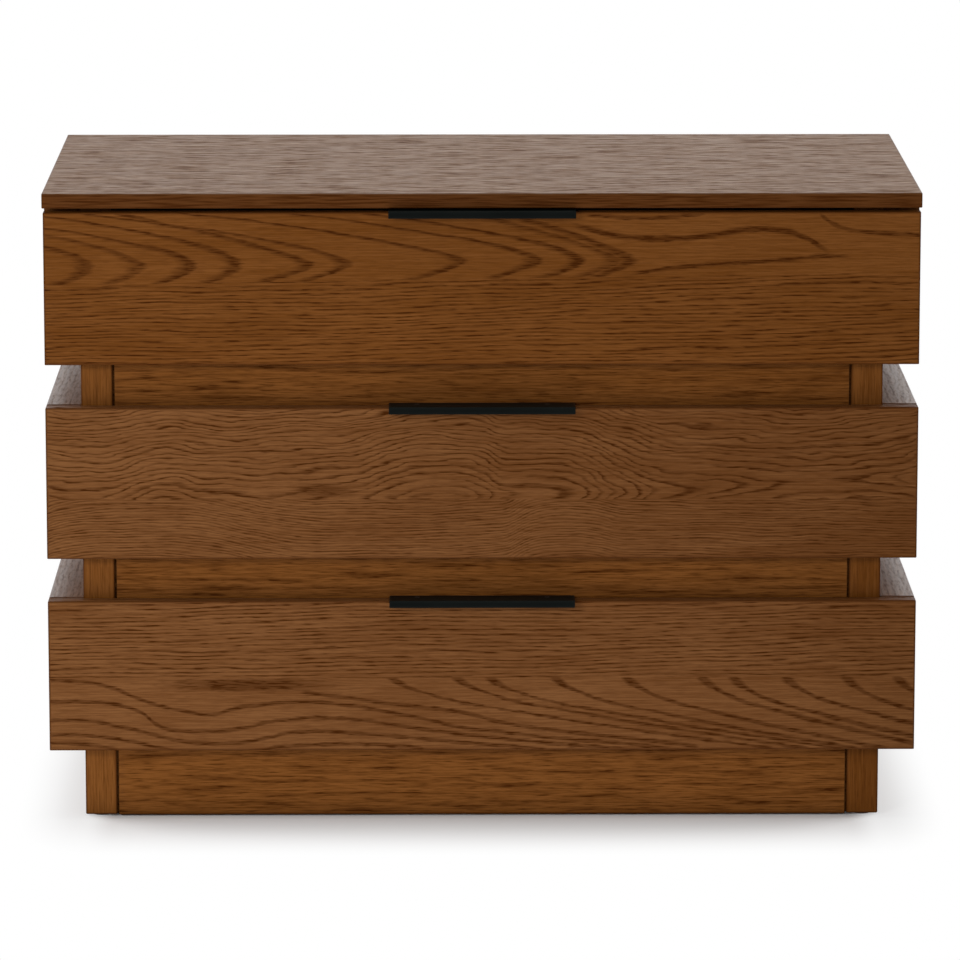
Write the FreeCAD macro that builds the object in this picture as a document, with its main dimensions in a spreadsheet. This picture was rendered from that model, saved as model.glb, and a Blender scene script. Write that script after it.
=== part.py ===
import FreeCAD, Part
import os
from types import SimpleNamespace

import Sketcher

# Block front chest: three wide drawer blocks, carried round the corners by side blocks, on a
# recessed case of posts and rails.
# Millimetres. X runs to the right, Y to the back and Z up. The origin is on the floor under the
# middle of the chest, and the drawers open towards -Y.

SIZES = {
    # Case
    "case_width": 888.0,  # over the outer faces of the posts
    "case_depth": 477.0,  # front of the front posts to back of the rear posts
    "base_height": 80.0,  # floor to the lowest block
    "block_height": 170.0,
    "block_gap": 48.0,  # band of rail that shows between two blocks
    "block_projection": 38.5,  # side block beyond the post
    "block_setback": 4.0,  # front end of a side block behind the post's face
    "top_thickness": 16.5,
    "top_overhang": 1.2,
    "side_thickness": 18.0,
    "cleat_thickness": 17.0,
    "cleat_margin": 8.0,  # cleat above and below its slide
    "rail_thickness": 20.0,
    "rail_overlap": 10.0,  # rail hidden behind a block
    "reveal_width": 2.4,  # shadow line between a rail or panel and its post
    "reveal_depth": 8.0,
    "tongue_depth": 8.0,
    "stretcher_width": 70.0,
    "stretcher_setback": 12.0,
    "back_thickness": 6.0,
    "back_inset": 8.0,
    "rebate_width": 12.0,
    "edge_round": 1.2,
    "post_round": 1.6,
    "glide_radius": 12.0,
    "glide_height": 2.0,
    "bumper_radius": 5.0,
    "bumper_thickness": 2.0,
    # Drawers
    "front_thickness": 18.0,
    "box_wall": 12.0,
    "clearance_below": 12.0,  # sill to the drawer box
    "clearance_above": 18.0,  # drawer box to the rail over it
    "box_tail": 15.0,  # drawer box beyond the end of its slides
    "rear_room": 45.0,  # drawer box to the back panel
    "bottom_thickness": 5.0,
    "bottom_lift": 12.0,
    "groove_depth": 6.0,
    # Pulls
    "pull_length": 206.0,
    "pull_thickness": 2.5,
    "pull_projection": 12.0,
    "lip_height": 8.0,
    "pull_round": 0.5,
    "slot_clearance": 2.0,  # upper pull to the underside of the top
    # Slides
    "slide_thickness": 12.7,
    "slide_height": 45.0,
    "slide_setback": 3.0,
    "slide_sheet": 1.5,
    "slide_web_gap": 1.0,
    "ball_gap": 3.4,
    "strip_thickness": 0.6,
    "strip_margin": 12.0,
    # Fasteners
    "dowel_radius": 4.0,
    "dowel_length": 30.0,
    "screw_radius": 1.9,
    "screw_head_radius": 4.2,
    "screw_head_height": 2.4,
    "block_screw_bite": 22.0,
    "top_screw_bite": 9.0,
    "back_screw_bite": 14.0,
    "front_screw_bite": 11.0,
    "pull_screw_radius": 1.4,
    "pull_screw_head_radius": 2.9,
    "pull_screw_head_height": 1.5,
    "pull_screw_bite": 14.0,
    # Clearances
    "fit_play": 0.1,  # each side of a tongue, panel, ball, dowel or screw in its seat
    "bore_room": 1.5,  # bore past the end of a dowel or screw
    "overrun": 2.0,  # cut past the face that it leaves through
}

TIERS = ("lower", "middle", "upper")
TAIL_COUNT = 3
BALL_COUNT = 5

# Places that follow a piece, as shares of its length
TONGUE_SHARE = 0.6
TAIL_END_SHARE = 0.36
TAIL_NECK_SHARE = 0.28
STRIP_WIDTH_SHARE = 0.8
RAIL_DOWEL_SHARES = (0.25, 0.75)
BLOCK_SCREW_SHARES = (0.12, 0.88)
TOP_SCREW_SHARES = (0.25, 0.8)
BACK_SCREW_SHARES = (0.2, 0.4, 0.6, 0.8)
BACK_RAIL_SCREW_SHARES = (0.2, 0.65)
FRONT_SCREW_SHARE = 0.6
FRONT_SCREW_LEVEL_SHARES = (0.3, 0.75)
PULL_SCREW_SHARE = 0.7


class Size:
    """A length, kept both as an expression over the sheet's cells and as its present value."""

    def __init__(self, text, value):
        self.text = text
        self.value = value

    def __add__(self, other):
        return Size(f"({self.text} + {other.text})", self.value + other.value)

    def __sub__(self, other):
        return Size(f"({self.text} - {other.text})", self.value - other.value)

    def __mul__(self, factor):
        return Size(f"({self.text} * {factor})", self.value * factor)

    def __truediv__(self, factor):
        return Size(f"({self.text} / {factor})", self.value / factor)

    def __neg__(self):
        return Size(f"(0 - {self.text})", -self.value)


doc = FreeCAD.newDocument("BlockFrontChest")
sheet = doc.addObject("Spreadsheet::Sheet", "Sizes")
for row, (name, value) in enumerate(SIZES.items(), start=1):
    sheet.set(f"A{row}", name)
    sheet.set(f"B{row}", str(value))
    sheet.setAlias(f"B{row}", name)
doc.recompute()

s = SimpleNamespace(**{name: Size(f"Sizes.{name}", value) for name, value in SIZES.items()})
zero = Size("0", 0.0)

# Layout across: posts, opening between them, drawer box between the slides
post_side = s.side_thickness + s.cleat_thickness
half_case = s.case_width / 2
half_opening = half_case - post_side
half_block = half_case + s.block_projection
half_box = half_opening - s.slide_thickness
panel_inside = half_case - s.side_thickness

# Layout in depth, from the lips of the pulls to the back of the posts
back_face = (s.pull_projection + s.front_thickness + s.bumper_thickness + s.case_depth) / 2
case_face = back_face - s.case_depth
front_back = case_face - s.bumper_thickness
front_face = front_back - s.front_thickness
panel_seat = back_face - s.back_inset - s.back_thickness
front_post_back = case_face + post_side
rear_post_front = back_face - post_side
slide_front = case_face + s.slide_setback
box_back = panel_seat - s.rear_room
slide_length = box_back - s.box_tail - slide_front

# Layout in height, tier by tier
tier_bottom = {}
tier_top = {}
level = s.base_height
for tier in TIERS:
    tier_bottom[tier] = level
    tier_top[tier] = level + s.block_height
    level = tier_top[tier] + s.block_gap
top_underside = tier_top["upper"] + s.pull_thickness + s.slot_clearance
stretcher_bottom = tier_top["upper"] - s.rail_overlap
box_height = s.block_height - s.rail_overlap * 2 - s.clearance_below - s.clearance_above
box_bottom = {tier: tier_bottom[tier] + s.rail_overlap + s.clearance_below for tier in TIERS}
slide_bottom = {tier: box_bottom[tier] + (box_height - s.slide_height) / 2 for tier in TIERS}

# Sketch plane that lies square to each direction
PLANES = {"x": "YZ_Plane", "y": "XZ_Plane", "z": "XY_Plane"}
DIRECTIONS = {"x": FreeCAD.Vector(1, 0, 0), "y": FreeCAD.Vector(0, 1, 0), "z": FreeCAD.Vector(0, 0, 1)}
corners = {}
pieces = []
cuts = []


def between(low, high, share):
    """The place at a share of the way from low to high."""
    return low + (high - low) * share


def bind(thing, path, amount):
    thing.setExpression(path, amount.text)


def place(thing, corner):
    for axis, amount in zip("xyz", corner):
        bind(thing, f"Placement.Base.{axis}", amount)


def finished(piece, label):
    """Name a piece that is a node of its own."""
    piece.Label = label
    pieces.append(piece)
    return piece


def new_body(name, corner):
    body = doc.addObject("PartDesign::Body", name)
    corners[body.Name] = corner
    place(body, corner)
    return body


def box_feature(body, kind, low, high):
    """A box between two corners of the chest, added to the body or cut from it."""
    feature = body.newObject(f"PartDesign::{kind}Box", f"{kind}Box")
    for path, start, end in zip(("Length", "Width", "Height"), low, high):
        bind(feature, path, end - start)
    place(feature, [start - origin for start, origin in zip(low, corners[body.Name])])
    if kind == "Subtractive":
        cuts.append(feature)
    return feature


def board(name, low, high, rounding=None):
    """A board between two corners of the chest, with its edges eased if a rounding is given."""
    body = new_body(name, low)
    box_feature(body, "Additive", low, high)
    if rounding:
        ease(body, rounding)
    return body


def ease(body, rounding):
    """Round every edge that the body has so far."""
    doc.recompute()
    blank = body.Tip
    easing = body.newObject("PartDesign::Fillet", "Easing")
    easing.Base = (blank, [])
    easing.UseAllEdges = True
    bind(easing, "Radius", rounding)


def sketch_across(body, axis, level):
    """An empty sketch square to the axis, at a level of the chest along it."""
    offset = level - corners[body.Name]["xyz".index(axis)]
    plane = next(item for item in body.Origin.OriginFeatures if item.Role == PLANES[axis])
    sketch = body.newObject("Sketcher::SketchObject", "Outline")
    sketch.AttachmentSupport = [(plane, "")]
    sketch.MapMode = "FlatFace"
    bind(sketch, "AttachmentOffset.Base.z", -offset if axis == "y" else offset)
    return sketch


def fix_point(sketch, geometry, point, u, v):
    for kind, amount in (("DistanceX", u), ("DistanceY", v)):
        index = sketch.addConstraint(Sketcher.Constraint(kind, -1, 1, geometry, point, amount.value))
        bind(sketch, f"Constraints[{index}]", amount)


def add_loop(sketch, points):
    """A closed outline of straight lines through points given in the sketch's own plane."""
    vectors = [FreeCAD.Vector(u.value, v.value, 0) for u, v in points]
    lines = [sketch.addGeometry(Part.LineSegment(a, b)) for a, b in zip(vectors, vectors[1:] + vectors[:1])]
    for line, following in zip(lines, lines[1:] + lines[:1]):
        sketch.addConstraint(Sketcher.Constraint("Coincident", line, 2, following, 1))
    for line, (u, v) in zip(lines, points):
        fix_point(sketch, line, 1, u, v)


def extrude(body, sketch, axis, kind, length):
    """Pad or pocket the sketch along the positive axis."""
    feature = body.newObject(f"PartDesign::{kind}", kind)
    feature.Profile = sketch
    feature.Reversed = (axis == "y") == (kind == "Pad")
    bind(feature, "Length", length)
    if kind == "Pocket":
        cuts.append(feature)


def in_plane(point, axis):
    """The two places of a point that lie across the axis."""
    return [amount for name, amount in zip("xyz", point) if name != axis]


def cut_outlines(body, axis, loops, low, high):
    """Cut outlines, given in places of the chest, between two levels along the axis."""
    sketch = sketch_across(body, axis, low)
    left, bottom = in_plane(corners[body.Name], axis)
    for loop in loops:
        add_loop(sketch, [(u - left, v - bottom) for u, v in loop])
    extrude(body, sketch, axis, "Pocket", high - low)


def drill(body, axis, centres, radius, low, high):
    """Round bores about centres of the chest, between two levels along the axis."""
    sketch = sketch_across(body, axis, low)
    left, bottom = in_plane(corners[body.Name], axis)
    for centre in centres:
        u, v = in_plane(centre, axis)
        u -= left
        v -= bottom
        middle = FreeCAD.Vector(u.value, v.value, 0)
        circle = sketch.addGeometry(Part.Circle(middle, DIRECTIONS["z"], radius.value))
        index = sketch.addConstraint(Sketcher.Constraint("Radius", circle, radius.value))
        bind(sketch, f"Constraints[{index}]", radius)
        fix_point(sketch, circle, 3, u, v)
    extrude(body, sketch, axis, "Pocket", high - low)


def mirrored(piece):
    """The same piece on the left side of the chest."""
    copy = doc.addObject("Part::Mirroring", "Mirrored")
    copy.Source = piece
    copy.Normal = (1, 0, 0)
    copy.Base = (0, 0, 0)
    return copy


def handed(piece, label, suffix=""):
    """Name a right-hand piece and its left-hand twin."""
    finished(piece, f"{label}_right{suffix}")
    finished(mirrored(piece), f"{label}_left{suffix}")


def group(label, members):
    """Right-hand members and their left-hand twins as separate solids of one node."""
    compound = doc.addObject("Part::Compound", "Group")
    compound.Links = [solid for member in members for solid in (member, mirrored(member))]
    return finished(compound, label)


def cylinder(axis, start, radius, length, sense=1):
    rod = doc.addObject("Part::Cylinder", "Rod")
    rod.Placement.Rotation = FreeCAD.Rotation(DIRECTIONS["z"], DIRECTIONS[axis] * sense)
    bind(rod, "Radius", radius)
    bind(rod, "Height", length)
    place(rod, start)
    return rod


def joined(members):
    whole = doc.addObject("Part::MultiFuse", "Joined")
    whole.Shapes = members
    return whole


def pan_screw(axis, seat, length, sense=1):
    """A screw whose flat-bottomed head sits on its seat, driven along the axis."""
    head = cylinder(axis, seat, s.screw_head_radius, s.screw_head_height, -sense)
    shank = cylinder(axis, seat, s.screw_radius, length, sense)
    return joined([head, shank])


screw_bore = s.screw_radius + s.fit_play
dowel_bore = s.dowel_radius + s.fit_play
dowel_reach = s.dowel_length / 2
bore_reach = dowel_reach + s.bore_room


def dowel_centres():
    """Dowel centres at the right-hand end of each rail, by the rail's name."""
    behind_reveal = case_face + (s.reveal_depth + s.rail_thickness) / 2
    rear_rail = panel_seat - s.rail_thickness / 2
    stretcher_level = (stretcher_bottom + top_underside) / 2
    front_stretcher = (case_face + s.stretcher_setback + front_post_back) / 2
    rear_stretcher = (rear_post_front + panel_seat) / 2
    heights = {
        "front_rail_lower": (behind_reveal, rail_range("lower", "middle")),
        "front_rail_upper": (behind_reveal, rail_range("middle", "upper")),
        "base_rail_front": (behind_reveal, base_range()),
        "base_rail_rear": (rear_rail, base_range()),
    }
    centres = {
        name: [(half_opening, depth, between(low, high, share)) for share in RAIL_DOWEL_SHARES]
        for name, (depth, (low, high)) in heights.items()
    }
    centres["top_stretcher_front"] = [(half_opening, front_stretcher, stretcher_level)]
    centres["top_stretcher_rear"] = [(half_opening, rear_stretcher, stretcher_level)]
    return centres


def rail_range(below, above):
    """Heights between which a front rail stands, behind the blocks under and over it."""
    return tier_top[below] - s.rail_overlap, tier_bottom[above] + s.rail_overlap


def base_range():
    return s.glide_height, tier_bottom["lower"] + s.rail_overlap


dowels = dowel_centres()

# Side panel tongue, in what the shadow line leaves of the panel's thickness
tongue_thickness = (s.side_thickness - s.reveal_depth) * TONGUE_SHARE
tongue_low = panel_inside + (s.side_thickness - s.reveal_depth - tongue_thickness) / 2
tongue_high = tongue_low + tongue_thickness


def post(label, front, back, groove, rails):
    """A corner post: grooved for the side panel and bored for the dowels of its rails."""
    body = board(label, (half_opening, front, s.glide_height), (half_case, back, top_underside), s.post_round)
    box_feature(
        body, "Subtractive",
        (tongue_low - s.fit_play, groove[0], s.glide_height - s.overrun),
        (tongue_high + s.fit_play, groove[1], top_underside + s.overrun),
    )
    centres = [centre for rail in rails for centre in dowels[rail]]
    drill(body, "x", centres, dowel_bore, half_opening - s.overrun, half_opening + bore_reach)
    return body


def front_posts():
    groove = (front_post_back - s.tongue_depth - s.fit_play, front_post_back + s.overrun)
    rails = ("base_rail_front", "front_rail_lower", "front_rail_upper", "top_stretcher_front")
    handed(post("FrontPost", case_face, front_post_back, groove, rails), "front_post")


def rear_posts():
    groove = (rear_post_front - s.overrun, rear_post_front + s.tongue_depth + s.fit_play)
    body = post("RearPost", rear_post_front, back_face, groove, ("base_rail_rear", "top_stretcher_rear"))
    box_feature(
        body, "Subtractive",
        (half_opening - s.overrun, panel_seat, s.glide_height - s.overrun),
        (half_opening + s.rebate_width, back_face + s.overrun, top_underside + s.overrun),
    )
    drill(body, "y", back_post_screws(), screw_bore, panel_seat - s.back_screw_bite - s.bore_room,
          panel_seat + s.overrun)
    handed(body, "rear_post")


def side_panels():
    """Panels tongued into the posts, with a shadow line down both edges."""
    low = (panel_inside, front_post_back, s.glide_height)
    high = (half_case, rear_post_front, top_underside)
    body = board("SidePanel", low, high)
    for start, end in (
        (front_post_back - s.tongue_depth, front_post_back),
        (rear_post_front, rear_post_front + s.tongue_depth),
    ):
        box_feature(body, "Additive", (tongue_low, start, s.glide_height), (tongue_high, end, top_underside))
    for start, end in (
        (front_post_back - s.overrun, front_post_back + s.reveal_width),
        (rear_post_front - s.reveal_width, rear_post_front + s.overrun),
    ):
        box_feature(
            body, "Subtractive",
            (half_case - s.reveal_depth, start, s.glide_height - s.overrun),
            (half_case + s.overrun, end, top_underside + s.overrun),
        )
    centres = [centre for tier in TIERS for centre in block_screw_seats(tier)]
    drill(body, "x", centres, screw_bore, panel_inside - s.overrun, half_case + s.overrun)
    handed(body, "side_panel")


def block_screw_seats(tier):
    return [
        (panel_inside, between(front_post_back, rear_post_front, along),
         between(tier_bottom[tier], tier_top[tier], up))
        for along in BLOCK_SCREW_SHARES for up in BLOCK_SCREW_SHARES
    ]


def side_blocks():
    """Blocks that carry the drawer fronts round the corners; the upper ones reach the top."""
    for tier in TIERS:
        crown = top_underside if tier == "upper" else tier_top[tier]
        low = (half_case, case_face + s.block_setback, tier_bottom[tier])
        body = board("SideBlock", low, (half_block, back_face, crown), s.edge_round)
        drill(body, "x", block_screw_seats(tier), screw_bore, half_case - s.overrun,
              half_case + s.block_screw_bite + s.bore_room)
        handed(body, "side_block", f"_{tier}")


def rail(label, front, bottom, top, revealed):
    """A rail between two posts, with a shadow line at both ends if it shows."""
    back = front + s.rail_thickness
    body = board("Rail", (-half_opening, front, bottom), (half_opening, back, top))
    if revealed:
        for start, end in (
            (-half_opening - s.overrun, -half_opening + s.reveal_width),
            (half_opening - s.reveal_width, half_opening + s.overrun),
        ):
            box_feature(
                body, "Subtractive",
                (start, front - s.overrun, bottom - s.overrun),
                (end, front + s.reveal_depth, top + s.overrun),
            )
    bore_ends(body, label)
    return finished(body, label)


def bore_ends(body, label):
    drill(body, "x", dowels[label], dowel_bore, half_opening - bore_reach, half_opening + s.overrun)
    drill(body, "x", dowels[label], dowel_bore, -half_opening - s.overrun, -half_opening + bore_reach)


def rails():
    rail("front_rail_lower", case_face, *rail_range("lower", "middle"), True)
    rail("front_rail_upper", case_face, *rail_range("middle", "upper"), True)
    rail("base_rail_front", case_face, *base_range(), True)
    rear = rail("base_rail_rear", panel_seat - s.rail_thickness, *base_range(), False)
    drill(rear, "y", back_rail_screws(base_range()), screw_bore,
          panel_seat - s.back_screw_bite - s.bore_room, panel_seat + s.overrun)


def stretchers():
    """Flat boards across the top of the case, to which the top is screwed."""
    fronts = {
        "top_stretcher_front": case_face + s.stretcher_setback,
        "top_stretcher_rear": panel_seat - s.stretcher_width,
    }
    for label, front in fronts.items():
        low = (-half_opening, front, stretcher_bottom)
        high = (half_opening, front + s.stretcher_width, top_underside)
        body = board("Stretcher", low, high)
        bore_ends(body, label)
        seats = [seat for seat in both_sides(top_screw_seats()) if front.value < seat[1].value < high[1].value]
        drill(body, "z", seats, screw_bore, stretcher_bottom - s.overrun, top_underside + s.overrun)
        if label == "top_stretcher_rear":
            drill(body, "y", back_rail_screws((stretcher_bottom, top_underside)), screw_bore,
                  panel_seat - s.back_screw_bite - s.bore_room, panel_seat + s.overrun)
        finished(body, label)


def both_sides(points):
    return points + [(-x, y, z) for x, y, z in points]


def top_screw_seats():
    rows = (case_face + s.stretcher_setback + s.stretcher_width / 2, panel_seat - s.stretcher_width / 2)
    return [(half_opening * share, row, stretcher_bottom) for row in rows for share in TOP_SCREW_SHARES]


def top_panel():
    low = (-half_block - s.top_overhang, front_face - s.top_overhang, top_underside)
    high = (half_block + s.top_overhang, back_face, top_underside + s.top_thickness)
    body = board("TopPanel", low, high, s.edge_round)
    drill(body, "z", both_sides(top_screw_seats()), screw_bore, top_underside - s.overrun,
          top_underside + s.top_screw_bite + s.bore_room)
    finished(body, "top_panel")


def back_post_screws():
    """Back panel screws up the right-hand rear post."""
    column = half_opening + s.rebate_width / 2
    return [
        (column, panel_seat + s.back_thickness, between(s.glide_height, top_underside, share))
        for share in BACK_SCREW_SHARES
    ]


def back_rail_screws(heights):
    """Back panel screws along a rear rail, both sides of the middle."""
    level = (heights[0] + heights[1]) / 2
    return both_sides(
        [(half_opening * share, panel_seat + s.back_thickness, level) for share in BACK_RAIL_SCREW_SHARES]
    )


def back_screw_seats():
    seats = back_post_screws()
    for heights in (base_range(), (stretcher_bottom, top_underside)):
        seats += [seat for seat in back_rail_screws(heights) if seat[0].value > 0]
    return seats


def back_panel():
    edge = half_opening + s.rebate_width - s.fit_play
    low = (-edge, panel_seat, s.glide_height)
    body = board("BackPanel", low, (edge, panel_seat + s.back_thickness, top_underside))
    drill(body, "y", both_sides(back_screw_seats()), screw_bore, panel_seat - s.overrun,
          panel_seat + s.back_thickness + s.overrun)
    finished(body, "back_panel")


def slide_cleats():
    """Strips on the side panels that bring the slides' seats flush with the posts."""
    for label, side in (("slide_cleats_right", lambda cleat: cleat), ("slide_cleats_left", mirrored)):
        compound = doc.addObject("Part::Compound", "Cleats")
        compound.Links = [side(slide_cleat(tier)) for tier in TIERS]
        finished(compound, label)


def slide_cleat(tier):
    cleat = doc.addObject("Part::Box", "Cleat")
    bind(cleat, "Length", s.cleat_thickness)
    bind(cleat, "Width", rear_post_front - front_post_back)
    bind(cleat, "Height", s.slide_height + s.cleat_margin * 2)
    place(cleat, (half_opening, front_post_back, slide_bottom[tier] - s.cleat_margin))
    return cleat


def case_hardware():
    """Dowels, screws, glides under the posts and bumpers behind the drawer fronts."""
    rods = [
        cylinder("x", (half_opening - dowel_reach, y, z), s.dowel_radius, s.dowel_length)
        for centres in dowels.values() for _, y, z in centres
    ]
    group("joint_dowels", rods)
    block_length = s.side_thickness + s.block_screw_bite
    top_length = top_underside - stretcher_bottom + s.top_screw_bite
    screws = [pan_screw("x", seat, block_length) for tier in TIERS for seat in block_screw_seats(tier)]
    screws += [pan_screw("z", seat, top_length) for seat in top_screw_seats()]
    group("case_screws", screws)
    back_length = s.back_thickness + s.back_screw_bite
    group("back_screws", [pan_screw("y", seat, back_length, -1) for seat in back_screw_seats()])
    post_middle = half_opening + post_side / 2
    depths = (case_face + post_side / 2, back_face - post_side / 2)
    glides = [cylinder("z", (post_middle, depth, zero), s.glide_radius, s.glide_height) for depth in depths]
    group("floor_glides", glides)
    bumpers = [
        cylinder("y", (post_middle, front_back, between(tier_bottom[tier], tier_top[tier], 1 / 2)),
                 s.bumper_radius, s.bumper_thickness)
        for tier in TIERS
    ]
    group("drawer_bumpers", bumpers)


def front_screw_seats(tier):
    """Drawer front screws, driven from inside the drawer box."""
    return [
        (half_box * FRONT_SCREW_SHARE, front_back + s.box_wall, box_bottom[tier] + box_height * share)
        for share in FRONT_SCREW_LEVEL_SHARES
    ]


def pull_screw_seat(tier):
    middle = front_back - s.front_thickness / 2
    return (s.pull_length / 2 * PULL_SCREW_SHARE, middle, tier_top[tier] + s.pull_thickness)


def drawer_front(tier):
    low = (-half_block, front_face, tier_bottom[tier])
    body = board("DrawerFront", low, (half_block, front_back, tier_top[tier]), s.edge_round)
    drill(body, "y", both_sides(front_screw_seats(tier)), screw_bore,
          front_back - s.front_screw_bite - s.bore_room, front_back + s.overrun)
    drill(body, "z", both_sides([pull_screw_seat(tier)]), s.pull_screw_radius + s.fit_play,
          tier_top[tier] - s.pull_screw_bite - s.bore_room, tier_top[tier] + s.overrun)
    finished(body, f"drawer_front_{tier}")


def pull(tier):
    """A black metal edge pull: a flange on the drawer front's top edge and a lip before its face."""
    depth = s.pull_projection + s.front_thickness
    flange = s.lip_height - s.pull_thickness
    corner = (-s.pull_length / 2, front_face - s.pull_projection, tier_top[tier] - flange)
    body = new_body("Pull", corner)
    sketch = sketch_across(body, "x", corner[0])
    add_loop(sketch, [
        (zero, zero), (s.pull_thickness, zero), (s.pull_thickness, flange),
        (depth, flange), (depth, s.lip_height), (zero, s.lip_height),
    ])
    extrude(body, sketch, "x", "Pad", s.pull_length)
    ease(body, s.pull_round)
    seats = both_sides([pull_screw_seat(tier)])
    drill(body, "z", seats, s.pull_screw_radius + s.fit_play, tier_top[tier] - s.overrun,
          tier_top[tier] + s.pull_thickness + s.overrun)
    for seat in seats:
        sink = body.newObject("PartDesign::SubtractiveCone", "Countersink")
        bind(sink, "Radius1", s.pull_screw_radius + s.fit_play)
        bind(sink, "Radius2", s.pull_screw_head_radius + s.fit_play)
        bind(sink, "Height", s.pull_screw_head_height)
        start = (seat[0], seat[1], seat[2] - s.pull_screw_head_height)
        place(sink, [a - b for a, b in zip(start, corner)])
        cuts.append(sink)
    finished(body, f"pull_{tier}")


def pull_screw(tier):
    """A countersunk screw, flush with the pull's flange."""
    x, y, z = pull_screw_seat(tier)
    head = doc.addObject("Part::Cone", "Head")
    bind(head, "Radius1", s.pull_screw_radius)
    bind(head, "Radius2", s.pull_screw_head_radius)
    bind(head, "Height", s.pull_screw_head_height)
    place(head, (x, y, z - s.pull_screw_head_height))
    bottom = tier_top[tier] - s.pull_screw_bite
    shank = cylinder("z", (x, y, bottom), s.pull_screw_radius, z - s.pull_screw_head_height - bottom)
    return joined([head, shank])


def drawer_screws(tier):
    length = s.box_wall + s.front_screw_bite
    screws = [pan_screw("y", seat, length, -1) for seat in front_screw_seats(tier)]
    group(f"drawer_screws_{tier}", screws + [pull_screw(tier)])


def tails(tier, end, shoulder):
    """Outlines of the dovetails at one end of a drawer side, from its end face to the shoulder."""
    pitch = box_height / TAIL_COUNT
    outlines = []
    for index in range(TAIL_COUNT):
        middle = box_bottom[tier] + pitch * (index + 1 / 2)
        wide = pitch * TAIL_END_SHARE
        neck = pitch * TAIL_NECK_SHARE
        outlines.append([
            (end, middle - wide), (shoulder, middle - neck), (shoulder, middle + neck), (end, middle + wide),
        ])
    return outlines


def pin_spaces(tier, end, shoulder):
    """Outlines of the spaces over, under and between those dovetails."""
    shapes = tails(tier, end, shoulder)
    bottom = box_bottom[tier]
    top = bottom + box_height
    floor = [[(end, bottom), (shoulder, bottom)]] + [[shape[3], shape[2]] for shape in shapes]
    ceiling = [[shape[1], shape[0]] for shape in shapes] + [[(shoulder, top), (end, top)]]
    return [under + over for under, over in zip(floor, ceiling)]


def groove(body, tier, low, high):
    """The groove for the drawer bottom, between two corners in plan."""
    base = box_bottom[tier] + s.bottom_lift
    box_feature(body, "Subtractive", (*low, base), (*high, base + s.bottom_thickness + s.fit_play))


def box_sides(tier):
    low = (half_box - s.box_wall, front_back, box_bottom[tier])
    body = board("BoxSide", low, (half_box, box_back, box_bottom[tier] + box_height))
    spaces = pin_spaces(tier, front_back, front_back + s.box_wall)
    spaces += pin_spaces(tier, box_back, box_back - s.box_wall)
    cut_outlines(body, "x", spaces, half_box - s.box_wall - s.overrun, half_box + s.overrun)
    inset = s.box_wall - s.groove_depth
    groove(body, tier, (half_box - s.box_wall - s.overrun, front_back + inset),
           (half_box - inset, box_back - inset))
    handed(body, "box_side", f"_{tier}")


def box_ends(tier):
    """Front and back of the drawer box, pinned between the dovetails of its sides."""
    ends = {
        "box_front": (front_back, front_back + s.box_wall, front_back),
        "box_back": (box_back - s.box_wall, box_back, box_back),
    }
    for label, (front, back, outside) in ends.items():
        low = (-half_box, front, box_bottom[tier])
        body = board("BoxEnd", low, (half_box, back, box_bottom[tier] + box_height))
        inside = back if label == "box_front" else front
        shapes = tails(tier, outside, inside)
        cut_outlines(body, "x", shapes, half_box - s.box_wall, half_box + s.overrun)
        cut_outlines(body, "x", shapes, -half_box - s.overrun, -half_box + s.box_wall)
        reach = half_box - s.box_wall + s.groove_depth
        if label == "box_front":
            groove(body, tier, (-reach, inside - s.groove_depth), (reach, inside + s.overrun))
            drill(body, "y", both_sides(front_screw_seats(tier)), screw_bore, front - s.overrun, back + s.overrun)
        else:
            groove(body, tier, (-reach, inside - s.overrun), (reach, inside + s.groove_depth))
        finished(body, f"{label}_{tier}")


def box_bottom_panel(tier):
    reach = s.groove_depth - s.fit_play
    side = half_box - s.box_wall + reach
    base = box_bottom[tier] + s.bottom_lift
    low = (-side, front_back + s.box_wall - reach, base)
    high = (side, box_back - s.box_wall + reach, base + s.bottom_thickness)
    finished(board("BoxBottom", low, high), f"box_bottom_{tier}")


# Slide section, from the drawer side at zero to the post: each member is a channel of bent sheet
outer_lip = s.slide_sheet * 2 + s.slide_web_gap
middle_web = s.slide_thickness - s.slide_sheet - s.slide_web_gap
middle_lip = s.slide_sheet + s.slide_web_gap
inner_lip = middle_web - s.slide_sheet - s.slide_web_gap
nest = s.slide_sheet + s.ball_gap


def channel(tier, web, lip, sheet, rise):
    """A channel from its web to its lips; rise is how far it lies inside the slide's height."""
    corner = (half_box, slide_front, slide_bottom[tier])
    body = new_body("Channel", corner)
    sketch = sketch_across(body, "y", slide_front)
    low = rise
    high = s.slide_height - rise
    add_loop(sketch, [
        (web, low), (lip, low), (lip, low + s.slide_sheet), (web + sheet, low + s.slide_sheet),
        (web + sheet, high - s.slide_sheet), (lip, high - s.slide_sheet), (lip, high), (web, high),
    ])
    extrude(body, sketch, "y", "Pad", slide_length)
    return body


def ball_strip(tier, x_range, z_middle, start):
    """Balls in a flat strip that runs between the lips of two channels."""
    middle = (x_range[0] + x_range[1]) / 2
    half_width = (x_range[1] - x_range[0]) * STRIP_WIDTH_SHARE / 2
    length = slide_length / 2 - s.strip_margin * 2
    strip = doc.addObject("Part::Box", "Strip")
    bind(strip, "Length", half_width * 2)
    bind(strip, "Width", length)
    bind(strip, "Height", s.strip_thickness)
    x = half_box + middle
    y = start + s.strip_margin
    z = slide_bottom[tier] + z_middle
    place(strip, (x - half_width, y, z - s.strip_thickness / 2))
    balls = []
    for index in range(BALL_COUNT):
        ball = doc.addObject("Part::Sphere", "Ball")
        bind(ball, "Radius", s.ball_gap / 2 - s.fit_play)
        place(ball, (x, y + length * ((index + 1 / 2) / BALL_COUNT), z))
        balls.append(ball)
    return joined([strip] + balls)


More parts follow.
